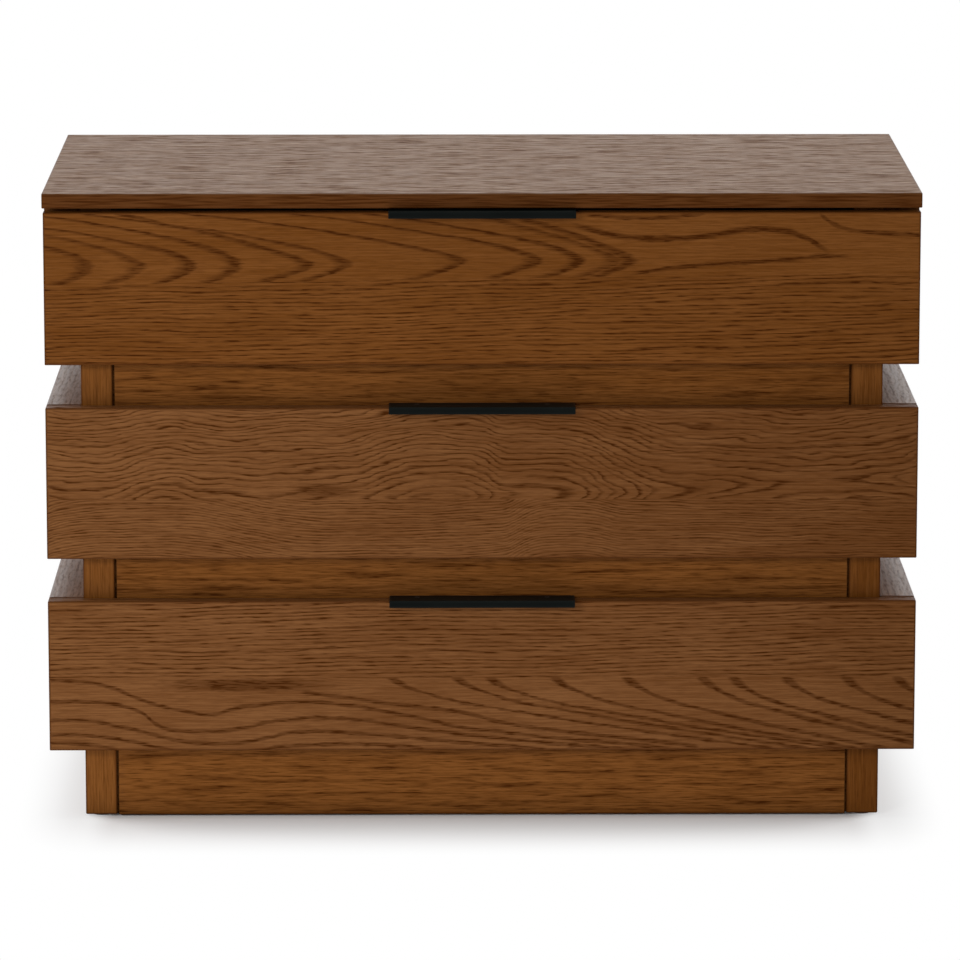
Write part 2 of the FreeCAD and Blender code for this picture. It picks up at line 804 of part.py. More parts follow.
def slides(tier):
    """A pair of three-part slides; the balls ride in the half of the middle part that stays nested."""
    outer = channel(tier, s.slide_thickness, outer_lip, -s.slide_sheet, zero)
    middle = channel(tier, middle_web, middle_lip, -s.slide_sheet, nest)
    inner = channel(tier, zero, inner_lip, s.slide_sheet, nest * 2)
    outer_level = s.slide_sheet + s.ball_gap / 2
    inner_level = outer_level + nest
    strips = []
    for x_range, level, start in (
        ((outer_lip, middle_web), outer_level, slide_front + slide_length / 2),
        ((middle_lip, inner_lip), inner_level, slide_front),
    ):
        for height in (level, s.slide_height - level):
            strips.append(ball_strip(tier, x_range, height, start))
    group(f"slide_outer_{tier}", [outer])
    group(f"slide_middle_{tier}", [middle] + strips)
    group(f"slide_inner_{tier}", [inner])


top_panel()
front_posts()
rear_posts()
side_panels()
side_blocks()
rails()
stretchers()
back_panel()
slide_cleats()
case_hardware()
for tier in TIERS:
    drawer_front(tier)
    pull(tier)
    drawer_screws(tier)
    box_sides(tier)
    box_ends(tier)
    box_bottom_panel(tier)
    slides(tier)
doc.recompute()

# Nothing is written unless every object is sound and every cut has taken something away
failed = [item.Label for item in doc.Objects if {"Invalid", "Error"} & set(item.State)]
failed += [piece.Label for piece in pieces if piece.Shape.isNull() or not piece.Shape.isValid()]
failed += [cut.Label for cut in cuts if cut.Shape.Volume >= cut.BaseFeature.Shape.Volume]
if failed:
    raise RuntimeError(f"not sound: {failed}")

os.makedirs("parts", exist_ok=True)
for piece in pieces:
    piece.Shape.exportStep(f"parts/{piece.Label}.step")
print(len(pieces), "pieces,", sum(len(piece.Shape.Solids) for piece in pieces), "solids")
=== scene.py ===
# %% [markdown]
# # A block front chest in oak
# The chest is a low oak case whose three drawers stand proud of it as long blocks. Its shapes come from
# the imported model, so this lesson is about looks: light, a lens that matches the view, stained oak veneer,
# black pulls, and the plain woods and steel inside. We load the model first.

import math

import bmesh
import bpy
from mathutils import Matrix, Vector


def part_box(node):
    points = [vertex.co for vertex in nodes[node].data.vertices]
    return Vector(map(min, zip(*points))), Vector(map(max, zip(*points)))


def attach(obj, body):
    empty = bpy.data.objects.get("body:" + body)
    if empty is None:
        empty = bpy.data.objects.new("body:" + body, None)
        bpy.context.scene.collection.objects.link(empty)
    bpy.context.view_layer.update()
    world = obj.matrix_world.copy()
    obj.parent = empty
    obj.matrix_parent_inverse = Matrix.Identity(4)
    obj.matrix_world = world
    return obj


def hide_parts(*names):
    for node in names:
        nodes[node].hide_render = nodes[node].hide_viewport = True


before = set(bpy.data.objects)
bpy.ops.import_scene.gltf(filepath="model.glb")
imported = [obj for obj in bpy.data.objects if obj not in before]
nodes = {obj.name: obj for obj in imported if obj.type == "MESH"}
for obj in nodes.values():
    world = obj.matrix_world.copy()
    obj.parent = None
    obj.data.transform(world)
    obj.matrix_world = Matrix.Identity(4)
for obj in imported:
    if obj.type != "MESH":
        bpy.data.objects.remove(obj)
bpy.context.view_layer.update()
MM = 0.001
TIERS = ("lower", "middle", "upper")
SIDES = ("right", "left")

# %% [markdown]
# ## Arithmetic on sockets
# A shader is a sum of many small nodes, and wiring each by hand hides the idea behind it. Here a small
# class wraps one socket and overloads the operators, so a ring of the tree is written as an ordinary
# formula. Every other node comes from one method that takes its type, its settings and the values or links
# of its sockets. It serves shaders and geometry alike, so it can also link several wires to one socket and
# hand back several outputs.


# %% A wire, on which sums are written
class Wire:
    """One output socket, on which sums can be written."""

    def __init__(self, graph, socket):
        self.graph = graph
        self.socket = socket

    def math(self, operation, *values):
        return self.graph.add("ShaderNodeMath", {"operation": operation}, dict(enumerate(values)))

    def __add__(self, other):
        return self.math("ADD", self, other)

    def __radd__(self, other):
        return self.math("ADD", other, self)

    def __sub__(self, other):
        return self.math("SUBTRACT", self, other)

    def __rsub__(self, other):
        return self.math("SUBTRACT", other, self)

    def __mul__(self, other):
        return self.math("MULTIPLY", self, other)

    def __rmul__(self, other):
        return self.math("MULTIPLY", other, self)

    def __truediv__(self, other):
        return self.math("DIVIDE", self, other)

    def __abs__(self):
        return self.math("ABSOLUTE", self)

    def least(self, other):
        return self.math("MINIMUM", self, other)

    def most(self, other):
        return self.math("MAXIMUM", self, other)

    def root(self):
        return self.math("SQRT", self)

    def part(self):
        return self.math("FRACT", self)

    def step(self, low, high):
        """A soft step from 0 at low to 1 at high."""
        smooth = {"interpolation_type": "SMOOTHSTEP"}
        return self.graph.add("ShaderNodeMapRange", smooth, {0: self, 1: low, 2: high})


print("wire ready")


# %% A graph that is filled with nodes
class Graph:
    """A node tree that is filled through one method."""

    def __init__(self, tree):
        self.tree = tree
        tree.nodes.clear()

    def add(self, kind, settings, sockets, *outputs):
        """Adds a node and gives the wire of its first output, or of each output that is named.

        Settings come first, the dots of a curve among them. A list of wires goes to one socket.
        """
        node = self.tree.nodes.new(kind)
        for name, value in settings.items():
            if name == "dots":
                plot(node.mapping, value)
            else:
                setattr(node, name, value)
        for key, value in sockets.items():
            for wire in value if isinstance(value, list) else [value]:
                if isinstance(wire, Wire):
                    self.tree.links.new(wire.socket, node.inputs[key])
                else:
                    node.inputs[key].default_value = wire
        if node.outputs and not outputs:
            outputs = (0,)
        wires = [Wire(self, node.outputs[name]) for name in outputs]
        return wires[0] if len(wires) == 1 else wires


def plot(mapping, dots):
    """Bends a node's curve through dots. The curve has its two ends from the start."""
    line = mapping.curves[0].points
    line[0].location, line[-1].location = dots[0], dots[-1]
    for dot in dots[1:-1]:
        line.new(*dot)
    mapping.update()


print("graph ready")

# %% [markdown]
# ## The view
# The photograph was taken from far off with a long lens, a little above the chest and almost straight on,
# so the front stays square and the top is a thin band. A camera fitted to the edges of the chest gives the
# same picture.

# %% Camera
LENS = 228.9
STAND = (-0.0531, -6.8824, 1.6438)
LOOK_DOWN = math.radians(10.72)
LOOK_RIGHT = math.radians(0.438)

lens = bpy.data.cameras.new("long_lens")
lens.lens = LENS
camera = bpy.data.objects.new("camera", lens)
camera.location = STAND
camera.rotation_euler = (math.pi / 2 - LOOK_DOWN, 0.0, -LOOK_RIGHT)
scene = bpy.context.scene
scene.collection.objects.link(camera)
scene.camera = camera
scene.view_settings.view_transform = "Standard"
print("camera at", tuple(camera.location))

# %% [markdown]
# ## Light
# A studio picture like this has soft lights overhead, at both sides and in front, the nearest on the left,
# in a white room. The lights in front stand high, so each block and each pull throws a thin shadow on what
# lies under it. The room gives an even light from everywhere, and only what the camera or a gloss sees of
# it is full white. A bright floor also throws light back up at the front. A wide low lamp before the chest,
# which the camera doesn't see, stands for that.

# %% A white room
ROOM_LIGHT = 0.45
ROOM_SEEN = 1.0
WHITE = (1.0, 1.0, 1.0, 1.0)


def seen_directly(graph):
    """1 for what the camera, a gloss or a clear surface sees, 0 for what lights the chest."""
    paths = [graph.add("ShaderNodeLightPath", {}, {}, name)
             for name in ("Is Camera Ray", "Is Glossy Ray", "Is Transmission Ray")]
    return paths[0].most(paths[1]).most(paths[2])


world = bpy.data.worlds.new("white_room")
scene.world = world
world.use_nodes = True
room = Graph(world.node_tree)
room_light = ROOM_LIGHT + (ROOM_SEEN - ROOM_LIGHT) * seen_directly(room)
background = room.add("ShaderNodeBackground", {}, {"Color": WHITE, "Strength": room_light})
room.add("ShaderNodeOutputWorld", {}, {"Surface": background})
print("room light", ROOM_LIGHT)

# %% Lamps
FRONT_MIDDLE = (0.0, -0.2, 0.38)
FOOT = (0.0, 0.0, 0.1)
FLOOR_MIDDLE = (0.0, 0.0, 0.0)


def lamp(name, place, aim, size, power):
    """A lamp with a rectangular face, which looks at the point that it aims at."""
    light = bpy.data.lights.new(name, "AREA")
    light.shape = "RECTANGLE"
    light.size, light.size_y = size
    light.energy = power
    holder = bpy.data.objects.new(name, light)
    holder.location = place
    holder.rotation_euler = (Vector(aim) - Vector(place)).to_track_quat("-Z", "Y").to_euler()
    scene.collection.objects.link(holder)
    return holder


lamp("near_lamp", place=(-1.7, -2.6, 1.45), aim=FRONT_MIDDLE, size=(1.2, 0.5), power=30.0)
lamp("front_lamp", place=(0.0, -5.0, 2.1), aim=FRONT_MIDDLE, size=(3.0, 0.7), power=20.0)
low_lamp = lamp("low_lamp", place=(-0.6, -1.245, 0.004), aim=(-0.6, -1.245, 1.0), size=(2.0, 2.0),
                power=9.5)
low_lamp.visible_camera = False
lamp("top_lamp", place=(-0.1, -0.05, 2.6), aim=FLOOR_MIDDLE, size=(1.7, 1.3), power=20.0)
lamp("left_lamp", place=(-2.4, 1.0, 0.9), aim=FOOT, size=(1.6, 1.4), power=42.0)
lamp("right_lamp", place=(2.4, 1.0, 0.9), aim=FOOT, size=(1.6, 1.4), power=42.0)

# %% [markdown]
# ## Floor
# The floor is a pale sheet that takes the shadow of the chest. A little way off, white is painted over it
# for what sees it directly, the white of the room, so it still lights the chest as paper does. Beside the
# chest more white is painted into the shadow, so it is fainter than in front and ends sooner.

# %% Floor sheet
FLOOR_REACH = 30.0
SQUARE = ((-1, -1, 0), (1, -1, 0), (1, 1, 0), (-1, 1, 0))

floor_sheet = bpy.data.meshes.new("floor")
floor_sheet.from_pydata(SQUARE, [], [(0, 1, 2, 3)])
floor_sheet.transform(Matrix.Scale(FLOOR_REACH, 4))
floor = bpy.data.objects.new("floor", floor_sheet)
scene.collection.objects.link(floor)
print("floor reaches", FLOOR_REACH, "m each way")

# %% Floor paper
FLOOR_COLOUR = (0.8, 0.8, 0.8, 1.0)
FLOOR_FADE = (0.0, 0.19)
SIDE_HASTE, FRONT_HASTE = 2.4, 1.0  # how soon the shadow fades
SIDE_SHARE = 0.5  # of white in the shadow beside the chest
CORNER = 0.035  # over which the front's shadow turns into the side's

floor_paper = bpy.data.materials.new("floor_paper")
floor_paper.use_nodes = True
paper = Graph(floor_paper.node_tree)
spot = paper.add("ShaderNodeTexCoord", {}, {}, "Object")
foot_low, foot_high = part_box("front_post_left")[0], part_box("rear_post_right")[1]
outside = []
for axis, low, high, haste in zip("XY", foot_low, foot_high, (SIDE_HASTE, FRONT_HASTE)):
    from_middle = abs(paper.add("ShaderNodeSeparateXYZ", {}, {0: spot}, axis) - (low + high) / 2)
    outside.append((from_middle - (high - low) / 2) * haste)
# painted white lifts the floor's shadow beside the chest
beside = outside[0].step(-CORNER * SIDE_HASTE, 0.0) * SIDE_SHARE
side, front = (distance.most(0.0) for distance in outside)
off = beside + (1 - beside) * (side * side + front * front).root().step(*FLOOR_FADE)
seen = seen_directly(paper)
matt = paper.add("ShaderNodeBsdfDiffuse", {}, {"Color": FLOOR_COLOUR})
far_floor = paper.add("ShaderNodeEmission", {}, {"Color": WHITE, "Strength": ROOM_SEEN})
sheet = paper.add("ShaderNodeMixShader", {}, {0: off * seen, 1: matt, 2: far_floor})
paper.add("ShaderNodeOutputMaterial", {}, {"Surface": sheet})
floor_sheet.materials.append(floor_paper)
print("floor fades over", FLOOR_FADE)

# %% [markdown]
# ## A finish, and the ways of the grain
# Every finish is one shader whose constant values are set on its own sockets, while colour, roughness and
# bump come from patterns. Wood patterns need to know which way the tree grew, so a board's place is
# measured along the grain, across it and through the board, in millimetres. Noise stretched along the grain
# then gives fibres and pores.


# %% Finish and stretched noise
def titled(name):
    """A socket's title, from a plain name."""
    return name.replace("_", " ").title().replace("Ior", "IOR")


class Finish(Graph):
    """A material with one main shader. Patterns are wired to it at the end."""

    def __init__(self, name, **constants):
        self.material = bpy.data.materials.new(name)
        self.material.use_nodes = True
        super().__init__(self.material.node_tree)
        values = {titled(name): value for name, value in constants.items()}
        skin = self.add("ShaderNodeBsdfPrincipled", {}, values)
        self.shader = skin.socket.node
        self.add("ShaderNodeOutputMaterial", {}, {"Surface": skin})

    def place(self):
        """Where a point lies in the chest, in millimetres."""
        spot = self.add("ShaderNodeTexCoord", {}, {}, "Object")
        scaled = self.add("ShaderNodeVectorMath", {"operation": "SCALE"}, {0: spot, "Scale": 1 / MM})
        return {axis: self.add("ShaderNodeSeparateXYZ", {}, {0: scaled}, axis.upper()) for axis in "xyz"}

    def streak(self, along, across, length, width, seed, detail=2.0):
        """Noise whose spots are about that long and wide."""
        spot = self.add("ShaderNodeCombineXYZ", {}, {0: along / length, 1: across / width, 2: seed})
        return self.add("ShaderNodeTexNoise", {}, {"Vector": spot, "Scale": 1.0, "Detail": detail})

    def drawn(self, run, points):
        """A height that follows points drawn along the board, each with its place and its height."""
        places, heights = zip(*points)
        reach, low = places[-1] - places[0], min(heights)
        tall = max(heights) - low
        dots = [((place - places[0]) / reach, (height - low) / tall) for place, height in points]
        bent = self.add("ShaderNodeFloatCurve", {"dots": dots}, {"Value": (run - places[0]) / reach})
        return bent * tall + low

    def mixed(self, share, first, second):
        """A colour between two colours."""
        return self.add("ShaderNodeMix", {"data_type": "RGBA"}, {0: share, 6: first, 7: second}, 2)

    def feed(self, **patterns):
        """Wires patterns to the shader's sockets."""
        for socket, wire in patterns.items():
            self.tree.links.new(wire.socket, self.shader.inputs[titled(socket)])

    def bump(self, height, depth):
        """A relief of that depth, in millimetres, out of a pattern from 0 to 1."""
        return self.add("ShaderNodeBump", {}, {"Strength": 1.0, "Distance": depth * MM, "Height": height})


print("finish ready")

# %% [markdown]
# ## Stained oak
# Oak shows its years twice over. Each ring begins with a band of open pores that takes the dark stain, and
# those pores are short dashes that lie along the grain. Shade is also painted along the edges of a board.
# One function draws pores, fibres and the painted edge shade, and each board brings the lines of its own
# grain.
# Some upper faces have a heavier coat of lacquer, so they show the light of the room.

# %% Colours of the stained oak
OAK = {"light": (0.162, 0.058, 0.0125, 1.0), "middle": (0.114, 0.0366, 0.0055, 1.0),
       "dark": (0.044, 0.0104, 0.0004, 1.0)}
GREY_OAK = {"light": (0.17, 0.07, 0.0225, 1.0), "middle": (0.114, 0.0408, 0.0102, 1.0),
            "dark": (0.044, 0.0108, 0.0005, 1.0)}
WARM_OAK = {"light": (0.174, 0.0625, 0.0125, 1.0), "middle": (0.122, 0.0392, 0.0055, 1.0),
            "dark": (0.044, 0.0104, 0.0004, 1.0)}
SLAB_OAK = {"light": (0.169, 0.079, 0.0235, 1.0), "middle": (0.112, 0.0455, 0.0105, 1.0),
            "dark": (0.046, 0.0125, 0.001, 1.0)}
print("oak from", OAK["dark"][:3], "to", OAK["light"][:3])

# %% Edges of a board
EDGE_BAND = (3.2, 0.4)  # from the edge, where it begins and where it is full


def edge(finish, place, board):
    """1 along a board's edges and 0 on its faces."""
    start, full = EDGE_BAND
    near = []
    for axis, low, high in zip("xyz", *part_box(board)):
        half = (high - low) / 2 / MM
        from_middle = abs(place[axis] - (low + high) / 2 / MM)
        near.append(from_middle.step(half - start, half - full))
    return (near[0] * near[1]).most(near[1] * near[2]).most(near[0] * near[2])


print("edges are", EDGE_BAND[0], "mm wide")

# %% Wood
THROUGH_SHARE = 0.62
PORE, FIBRE, CLOUD, LIPPING = (19.0, 1.7), (55.0, 1.5), (170.0, 34.0), (45.0, 2.2)  # length and width
PORE_STEP, LIPPING_STEP = (0.46, 0.63), (0.34, 0.68)
BAND_BASE, BAND_PORES = 0.68, 0.32
CLOUD_TONE = 1.2
SMOOTH, PORE_ROUGHNESS, COAT_ROUGHNESS = 0.28, 0.45, 0.3
FACE_EDGE = 0.4
LIPPING_BASE, LIPPING_GAIN = 0.34, 0.62
# how dark the painted shade along a board's edges is, and how much smoother those edges are
EDGE_PAINTED_SHADE, EDGE_POLISH = 0.75, 0.05
DARK_RELIEF, FIBRE_RELIEF, RELIEF_DEPTH = 0.8, 0.2, 0.16


def wood(name, ways, seed, lines, colours=OAK, tone=0.5, painted_falloff=0.0, board=None, pores=0.2, fibres=3.4,
         upper_face=None, coat=0.0, lipped=False, gloss=0.03):
    """A wood finish. ways are the axes along, across and through the board, and lines draws its bands.

    The tone changes along the board as painted light and shade, and fibres is how strongly they show in it.
    A board's name adds painted shade along its edges. upper_face is the height of a face that has a heavier
    coat of lacquer, coat is its weight, and a lipped slab shows its darker edging under it.
    """
    finish = Finish(name, specular_ior_level=gloss, coat_roughness=COAT_ROUGHNESS)
    place = finish.place()
    along, across, through = ways
    run = place[along]
    rise = place[across] + place[through] * THROUGH_SHARE
    dashes = finish.streak(run, rise, *PORE, seed, 1.0).step(*PORE_STEP)
    fibre = finish.streak(run, rise, *FIBRE, seed + 1.3)
    cloud = finish.streak(run, rise, *CLOUD, seed + 2.7)
    bands = lines(finish, run, rise)
    dark = (bands * (BAND_BASE + BAND_PORES * dashes) + dashes * pores).least(1.0)
    # the run term paints light and shade that falls off along the board, over the board's own tone
    pale = (cloud - 0.5) * CLOUD_TONE + (fibre - 0.5) * fibres + run * painted_falloff + tone
    rough = SMOOTH + PORE_ROUGHNESS * dark
    if upper_face:
        face = place["z"].step(upper_face - FACE_EDGE, upper_face)
        finish.feed(coat_weight=face * (1 - dark) * coat)
    if lipped:
        edging = finish.streak(run, place["z"], *LIPPING, seed + 6.0).step(*LIPPING_STEP)
        dark = dark * face + (edging * LIPPING_GAIN + LIPPING_BASE) * (1 - face)
    # painted shade darkens the board along its edges
    if board:
        rim = edge(finish, place, board)
        dark = dark.most(EDGE_PAINTED_SHADE * rim)
        rough = rough - EDGE_POLISH * rim
    body = finish.mixed(pale.most(0.0).least(1.0), colours["middle"], colours["light"])
    deep = colours["dark"]
    if lipped:
        body = finish.mixed(face, GREY_OAK["middle"], body)
        deep = finish.mixed(face, GREY_OAK["dark"], deep)
    relief = 1 - dark * DARK_RELIEF - fibre * FIBRE_RELIEF
    finish.feed(base_color=finish.mixed(dark, body, deep), roughness=rough,
                normal=finish.bump(relief, RELIEF_DEPTH))
    return finish.material


print("wood ready, pores", PORE, "fibres", FIBRE)

# %% [markdown]
# ## Lines of the grain
# A flat-sawn board is a map of the tree, and its dark bands are the level lines. A crown is an arrowhead
# whose limbs fall back from its tip. Where many lines crowd together, one drawn profile gives all of them
# their waves, and those that meet the heart of the board close into tips. A few bold lines are better drawn
# one by one, or as one sweep that starts again at each tip. Far from the heart the lines are near parallel
# and only wander. Each figure is a function that gives such lines, so that figures can be put together.

# %% Crowns
TIP_ROUND = 6.0
TIP_BEND, TIP_RAGS, TIP_RAG_REACH = (110.0, 45.0), (26.0, 2.6), 15.0
SHARP_SIDE, SOFT_SIDE, SOFT_LEVEL = 6.0, 13.0, 1.5


def crown(heart, slope, sway, tips, depth, seed):
    """Arrowheads that point right. Each tip has its place, the lean and bow of its limbs, its strength."""
    def lines(finish, run, rise):
        bend = (finish.streak(run, rise, *TIP_BEND, seed + 0.4) - 0.5) * sway
        ragged = (finish.streak(run, rise, *TIP_RAGS, seed + 5.1) - 0.5) * TIP_RAG_REACH
        away = rise + bend - heart - run * slope
        square = away * away
        far = (square + TIP_ROUND * TIP_ROUND).root() - TIP_ROUND
        spot = run + ragged
        bands = 0.0
        for tip, lean, bow, strength in tips:
            ahead = spot + far * lean + square * bow - tip
            band = (1 - ahead / SHARP_SIDE).least(SOFT_LEVEL + ahead / SOFT_SIDE)
            bands = (band.most(0.0).least(1.0) * strength).most(bands)
        return bands * depth
    return lines


print("crowns ready")

# %% Level lines
RING_START, RING_FADE = 9.0, 1.6
HEART_ROUND = 4.0
WAVE_BEND, WAVE_RAGS, WAVE_RAG_REACH = (75.0, 26.0), (24.0, 2.2), 0.45
UNEVEN_RUN, UNEVEN_REACH = 1.5, 0.9
WEIGHT_RUN, WEIGHT_GAIN, WEIGHT_LOSS, FAINTEST = 90.0, 2.6, 0.45, 0.3


def ring(level, share):
    """Dark where a year begins, with a sharp start and a slow fade. level counts the years."""
    year = level.part()
    return (year * RING_START).least((1 - year / share) * RING_FADE).most(0.0).least(1.0)


def contours(heart, profile, pitch, crowding, share, sway, seed, slope=0.0, strength=1.0):
    """Level lines on both sides of a heart, which follow a drawn profile.

    They lie about pitch apart beside the heart, and crowding brings them closer further off. The years are
    uneven, and the strength of a line varies.
    """
    def lines(finish, run, rise):
        bend = (finish.streak(run, rise, *WAVE_BEND, seed + 0.4) - 0.5) * sway
        ragged = (finish.streak(run, rise, *WAVE_RAGS, seed + 5.1) - 0.5) * WAVE_RAG_REACH
        away = rise + bend - heart - run * slope
        far = (away * away + HEART_ROUND * HEART_ROUND).root() - HEART_ROUND
        level = (far - finish.drawn(run, profile)) / pitch + far * far * crowding + ragged
        uneven = finish.streak(level, seed, UNEVEN_RUN, 1.0, seed + 2.2, 0.0) - 0.5
        level = level + uneven * UNEVEN_REACH
        weight = finish.streak(level, run, 1.0, WEIGHT_RUN, seed + 3.1, 1.0) * WEIGHT_GAIN - WEIGHT_LOSS
        return ring(level, share) * weight.most(FAINTEST).least(1.0) * strength
    return lines


print("level lines ready")

# %% Single lines and sweeps
LINE_RAGS, LINE_RAG_REACH = (22.0, 2.4), 5.0
LINE_GAIN = 1.7
FAR_OFF = 1000.0


def strokes(width, seed, *paths, strength=1.0, taper_share=0.08):
    """Single lines, each drawn through the points of its path."""
    def lines(finish, run, rise):
        ragged = (finish.streak(run, rise, *LINE_RAGS, seed) - 0.5) * LINE_RAG_REACH
        bands = 0.0
        for path in paths:
            first, last = path[0][0], path[-1][0]
            taper = (last - first) * taper_share
            off = abs(rise - finish.drawn(run, path) + ragged)
            inside = run.step(first, first + taper) * (1 - run.step(last - taper, last))
            band = ((1 - off / width) * LINE_GAIN).most(0.0).least(1.0) * inside
            bands = band.most(bands)
        return bands * strength
    return lines


def swept(joint, tips, reach, widths, seed, strength):
    """Lines that sweep down and to the right from tips on a joint. Each tip has its place and its stretch.

    reach says how far a line has come along the board at each depth under the joint, and widths says half
    its width there.
    """
    def lines(finish, run, rise):
        ragged = (finish.streak(run, rise, *LINE_RAGS, seed) - 0.5) * LINE_RAG_REACH
        depth = joint - rise + ragged
        come = finish.drawn(depth, reach)
        nearest = FAR_OFF
        for tip, stretch in tips:
            nearest = abs(run - come * stretch - tip).least(nearest)
        band = (1 - nearest / finish.drawn(depth, widths)) * LINE_GAIN
        return band.most(0.0).least(1.0) * strength
    return lines


print("single lines and sweeps ready")

# %% Straight grain and soft streaks
SLOW_BEND = (300.0, 70.0)
WOBBLE, WOBBLE_REACH = (45.0, 10.0), 3.0
CROWD, CROWD_REACH = (380.0, 14.0), 2.2
BAND_SHARE, BAND_GAIN = 0.6, 1.6
DASH_WIDTH, DASH_STEP = 2.8, (0.38, 0.56)
GAP_LEVEL, DASH_LEVEL = 0.25, 0.75
SPECKLE_STEP = (0.42, 0.72)


def straight(pitch, bend, seed, strength=0.85, tilt=0.0, dash=34.0):
    """Near parallel lines, about pitch apart, broken into dashes."""
    def lines(finish, run, rise):
        slow = (finish.streak(run, rise, *SLOW_BEND, seed + 0.9) - 0.5) * bend
        wobble = (finish.streak(run, rise, *WOBBLE, seed + 4.4) - 0.5) * WOBBLE_REACH
        crowd = (finish.streak(run, rise, *CROWD, seed + 3.3) - 0.5) * CROWD_REACH
        level = (rise + slow + wobble + run * tilt) / pitch + crowd
        band = (1 - abs(level.part() - 0.5) * (2 / BAND_SHARE)).most(0.0)
        broken = finish.streak(run, rise, dash, DASH_WIDTH, seed + 7.7).step(*DASH_STEP)
        return (band * BAND_GAIN).least(1.0) * (GAP_LEVEL + DASH_LEVEL * broken) * strength
    return lines


def speckled(length, width, seed, strength):
    """Soft dark streaks, about that long and wide."""
    def lines(finish, run, rise):
        return finish.streak(run, rise, length, width, seed, 3.0).step(*SPECKLE_STEP) * strength
    return lines


print("straight grain ready")

# %% Figures put together
JOINT_HALF = 0.5


def joined(*figures):
    """Several figures on one leaf."""
    def lines(finish, run, rise):
        drawn = [figure(finish, run, rise) for figure in figures]
        whole = drawn[0]
        for other in drawn[1:]:
            whole = whole.most(other)
        return whole
    return lines


def leaves(joint, above, below, slope=0.0):
    """Two leaves of veneer, one over the other, that meet at a joint."""
    def lines(finish, run, rise):
        over = (rise - run * slope).step(joint - JOINT_HALF, joint + JOINT_HALF)
        return below(finish, run, rise) * (1 - over) + above(finish, run, rise) * over
    return lines


print("leaves meet within", 2 * JOINT_HALF, "mm")

# %% [markdown]
# ## Drawer fronts
# Each front is veneered with its own pair of leaves, and the eye goes to them first. The upper one has wide
# crowns that point right, and a long eye, over straight grain. The middle one is crowded with waves that
# close into crowns, over a quiet leaf. The lower one has straight grain over a few bold lines: waves on the
# left, and sweeps from tips at the joint on the right. All are drawn in millimetres of the chest.

# %% Points of the three figures
UPPER_TIPS = ((-430, 0.3, 0.085, 0.85), (-373, 0.5, 0.08, 0.75), (-318, 0.1, 0.09, 1.0),
              (-267, 0.6, 0.058, 0.9), (-188, 3.0, 0.015, 1.0), (-146, 2.1, 0.054, 0.9),
              (-20, 2.9, 0.045, 1.0), (63, 2.0, 0.055, 0.95), (110, 1.6, 0.052, 0.95),
              (150, 2.6, 0.012, 0.75), (166, 2.2, 0.012, 0.95))
EYE_OVER = ((95, 673), (125, 665), (156, 659), (200, 656.5), (251, 660), (298, 666.5), (330, 665),
            (352, 659), (368, 650), (388, 638))
EYE_UNDER = ((160, 617), (200, 622.5), (245, 627.5), (302, 630.5), (346, 634), (380, 637), (410, 636))
CORNER_LINE = ((366, 690), (378, 678), (392, 670), (412, 665), (441, 662), (490, 660))
EDGE_LINE = ((110, 686), (147, 680), (176, 679), (220, 682), (252, 688))

MIDDLE_HILLS = ((-490, 23), (-424, 13), (-350, 32), (-311, 22), (-229, 15), (-164, 18), (-99, 34),
                (-45, 43), (-2, 34), (25, 18), (95, 7), (150, -22), (210, -49), (270, -59), (364, -70),
                (412, -68), (490, -51))
MIDDLE_ARCS = ((-490, -20), (-372, 0), (-164, -24), (20, -18), (95, 0), (160, -8), (490, -14))
MIDDLE_KNOT = ((-222, 372), (-190, 376), (-160, 375), (-132, 378))

LOWER_WAVES = (
    ((-205, 147), (-165, 142), (-100, 133), (-34, 125), (-12, 121), (20, 112), (69, 104), (118, 98),
     (216, 87), (245, 82)),
    ((-500, 160), (-450, 159), (-417, 153), (-385, 140), (-355, 130), (-326, 124), (-303, 121), (-283, 126),
     (-257, 131), (-188, 135), (-149, 131), (-100, 123), (-57, 114), (-18, 105), (28, 100), (77, 94),
     (151, 88), (216, 80)),
    ((-500, 136), (-427, 135), (-398, 130), (-381, 124), (-355, 106), (-336, 102), (-303, 102), (-270, 105),
     (-221, 115), (-182, 117), (-149, 116), (-100, 109), (-13, 97), (85, 87), (167, 80)),
    ((-500, 114), (-460, 115), (-407, 108), (-355, 95), (-329, 90), (-296, 88), (-270, 89), (-241, 94),
     (-185, 102), (-149, 100), (-34, 90), (77, 80)),
    ((-500, 97), (-457, 98), (-427, 96), (-362, 84), (-329, 79), (-264, 79), (-224, 84), (-165, 87),
     (-60, 79)),
    ((-500, 89), (-443, 87), (-411, 82), (-390, 78)),
)
LOWER_TIPS = ((-97, 1.3), (-25, 1.2), (12, 1.2), (84, 1.03), (164, 0.88), (248, 0.8), (282, 0.8),
              (341, 0.82), (408, 0.75), (465, 0.7))
SWEEP_REACH = ((0, -3), (3, 0), (11, 10), (17, 24), (25, 45), (33, 75), (40, 110), (49, 150), (59, 200),
               (72, 270), (86, 345))
SWEEP_WIDTHS = ((0, 7), (6, 9), (12, 8), (18, 6), (25, 9), (40, 12), (60, 15), (86, 16))
LOWER_KNOT = ((-385, 157), (-290, 155), (-240, 155), (-140, 159))
print("tips", len(UPPER_TIPS), len(LOWER_TIPS), "waves", len(LOWER_WAVES))

# %% Figures of the three fronts
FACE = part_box("drawer_front_upper")[0].y / MM * THROUGH_SHARE
UPPER_JOINT, MIDDLE_JOINT, LOWER_JOINT = 612.0 + FACE, 365.0 + FACE, 163.0 + FACE
UPPER_HEART, MIDDLE_HEART, ARC_HEART = 631.0 + FACE, 369.0 + FACE, 200.0 + FACE
KNOT_WIDTH, KNOT_TAPER = 9.0, 0.4


def lifted(points):
    """Points on a front's face, measured as the grain is."""
    return tuple((place, height + FACE) for place, height in points)


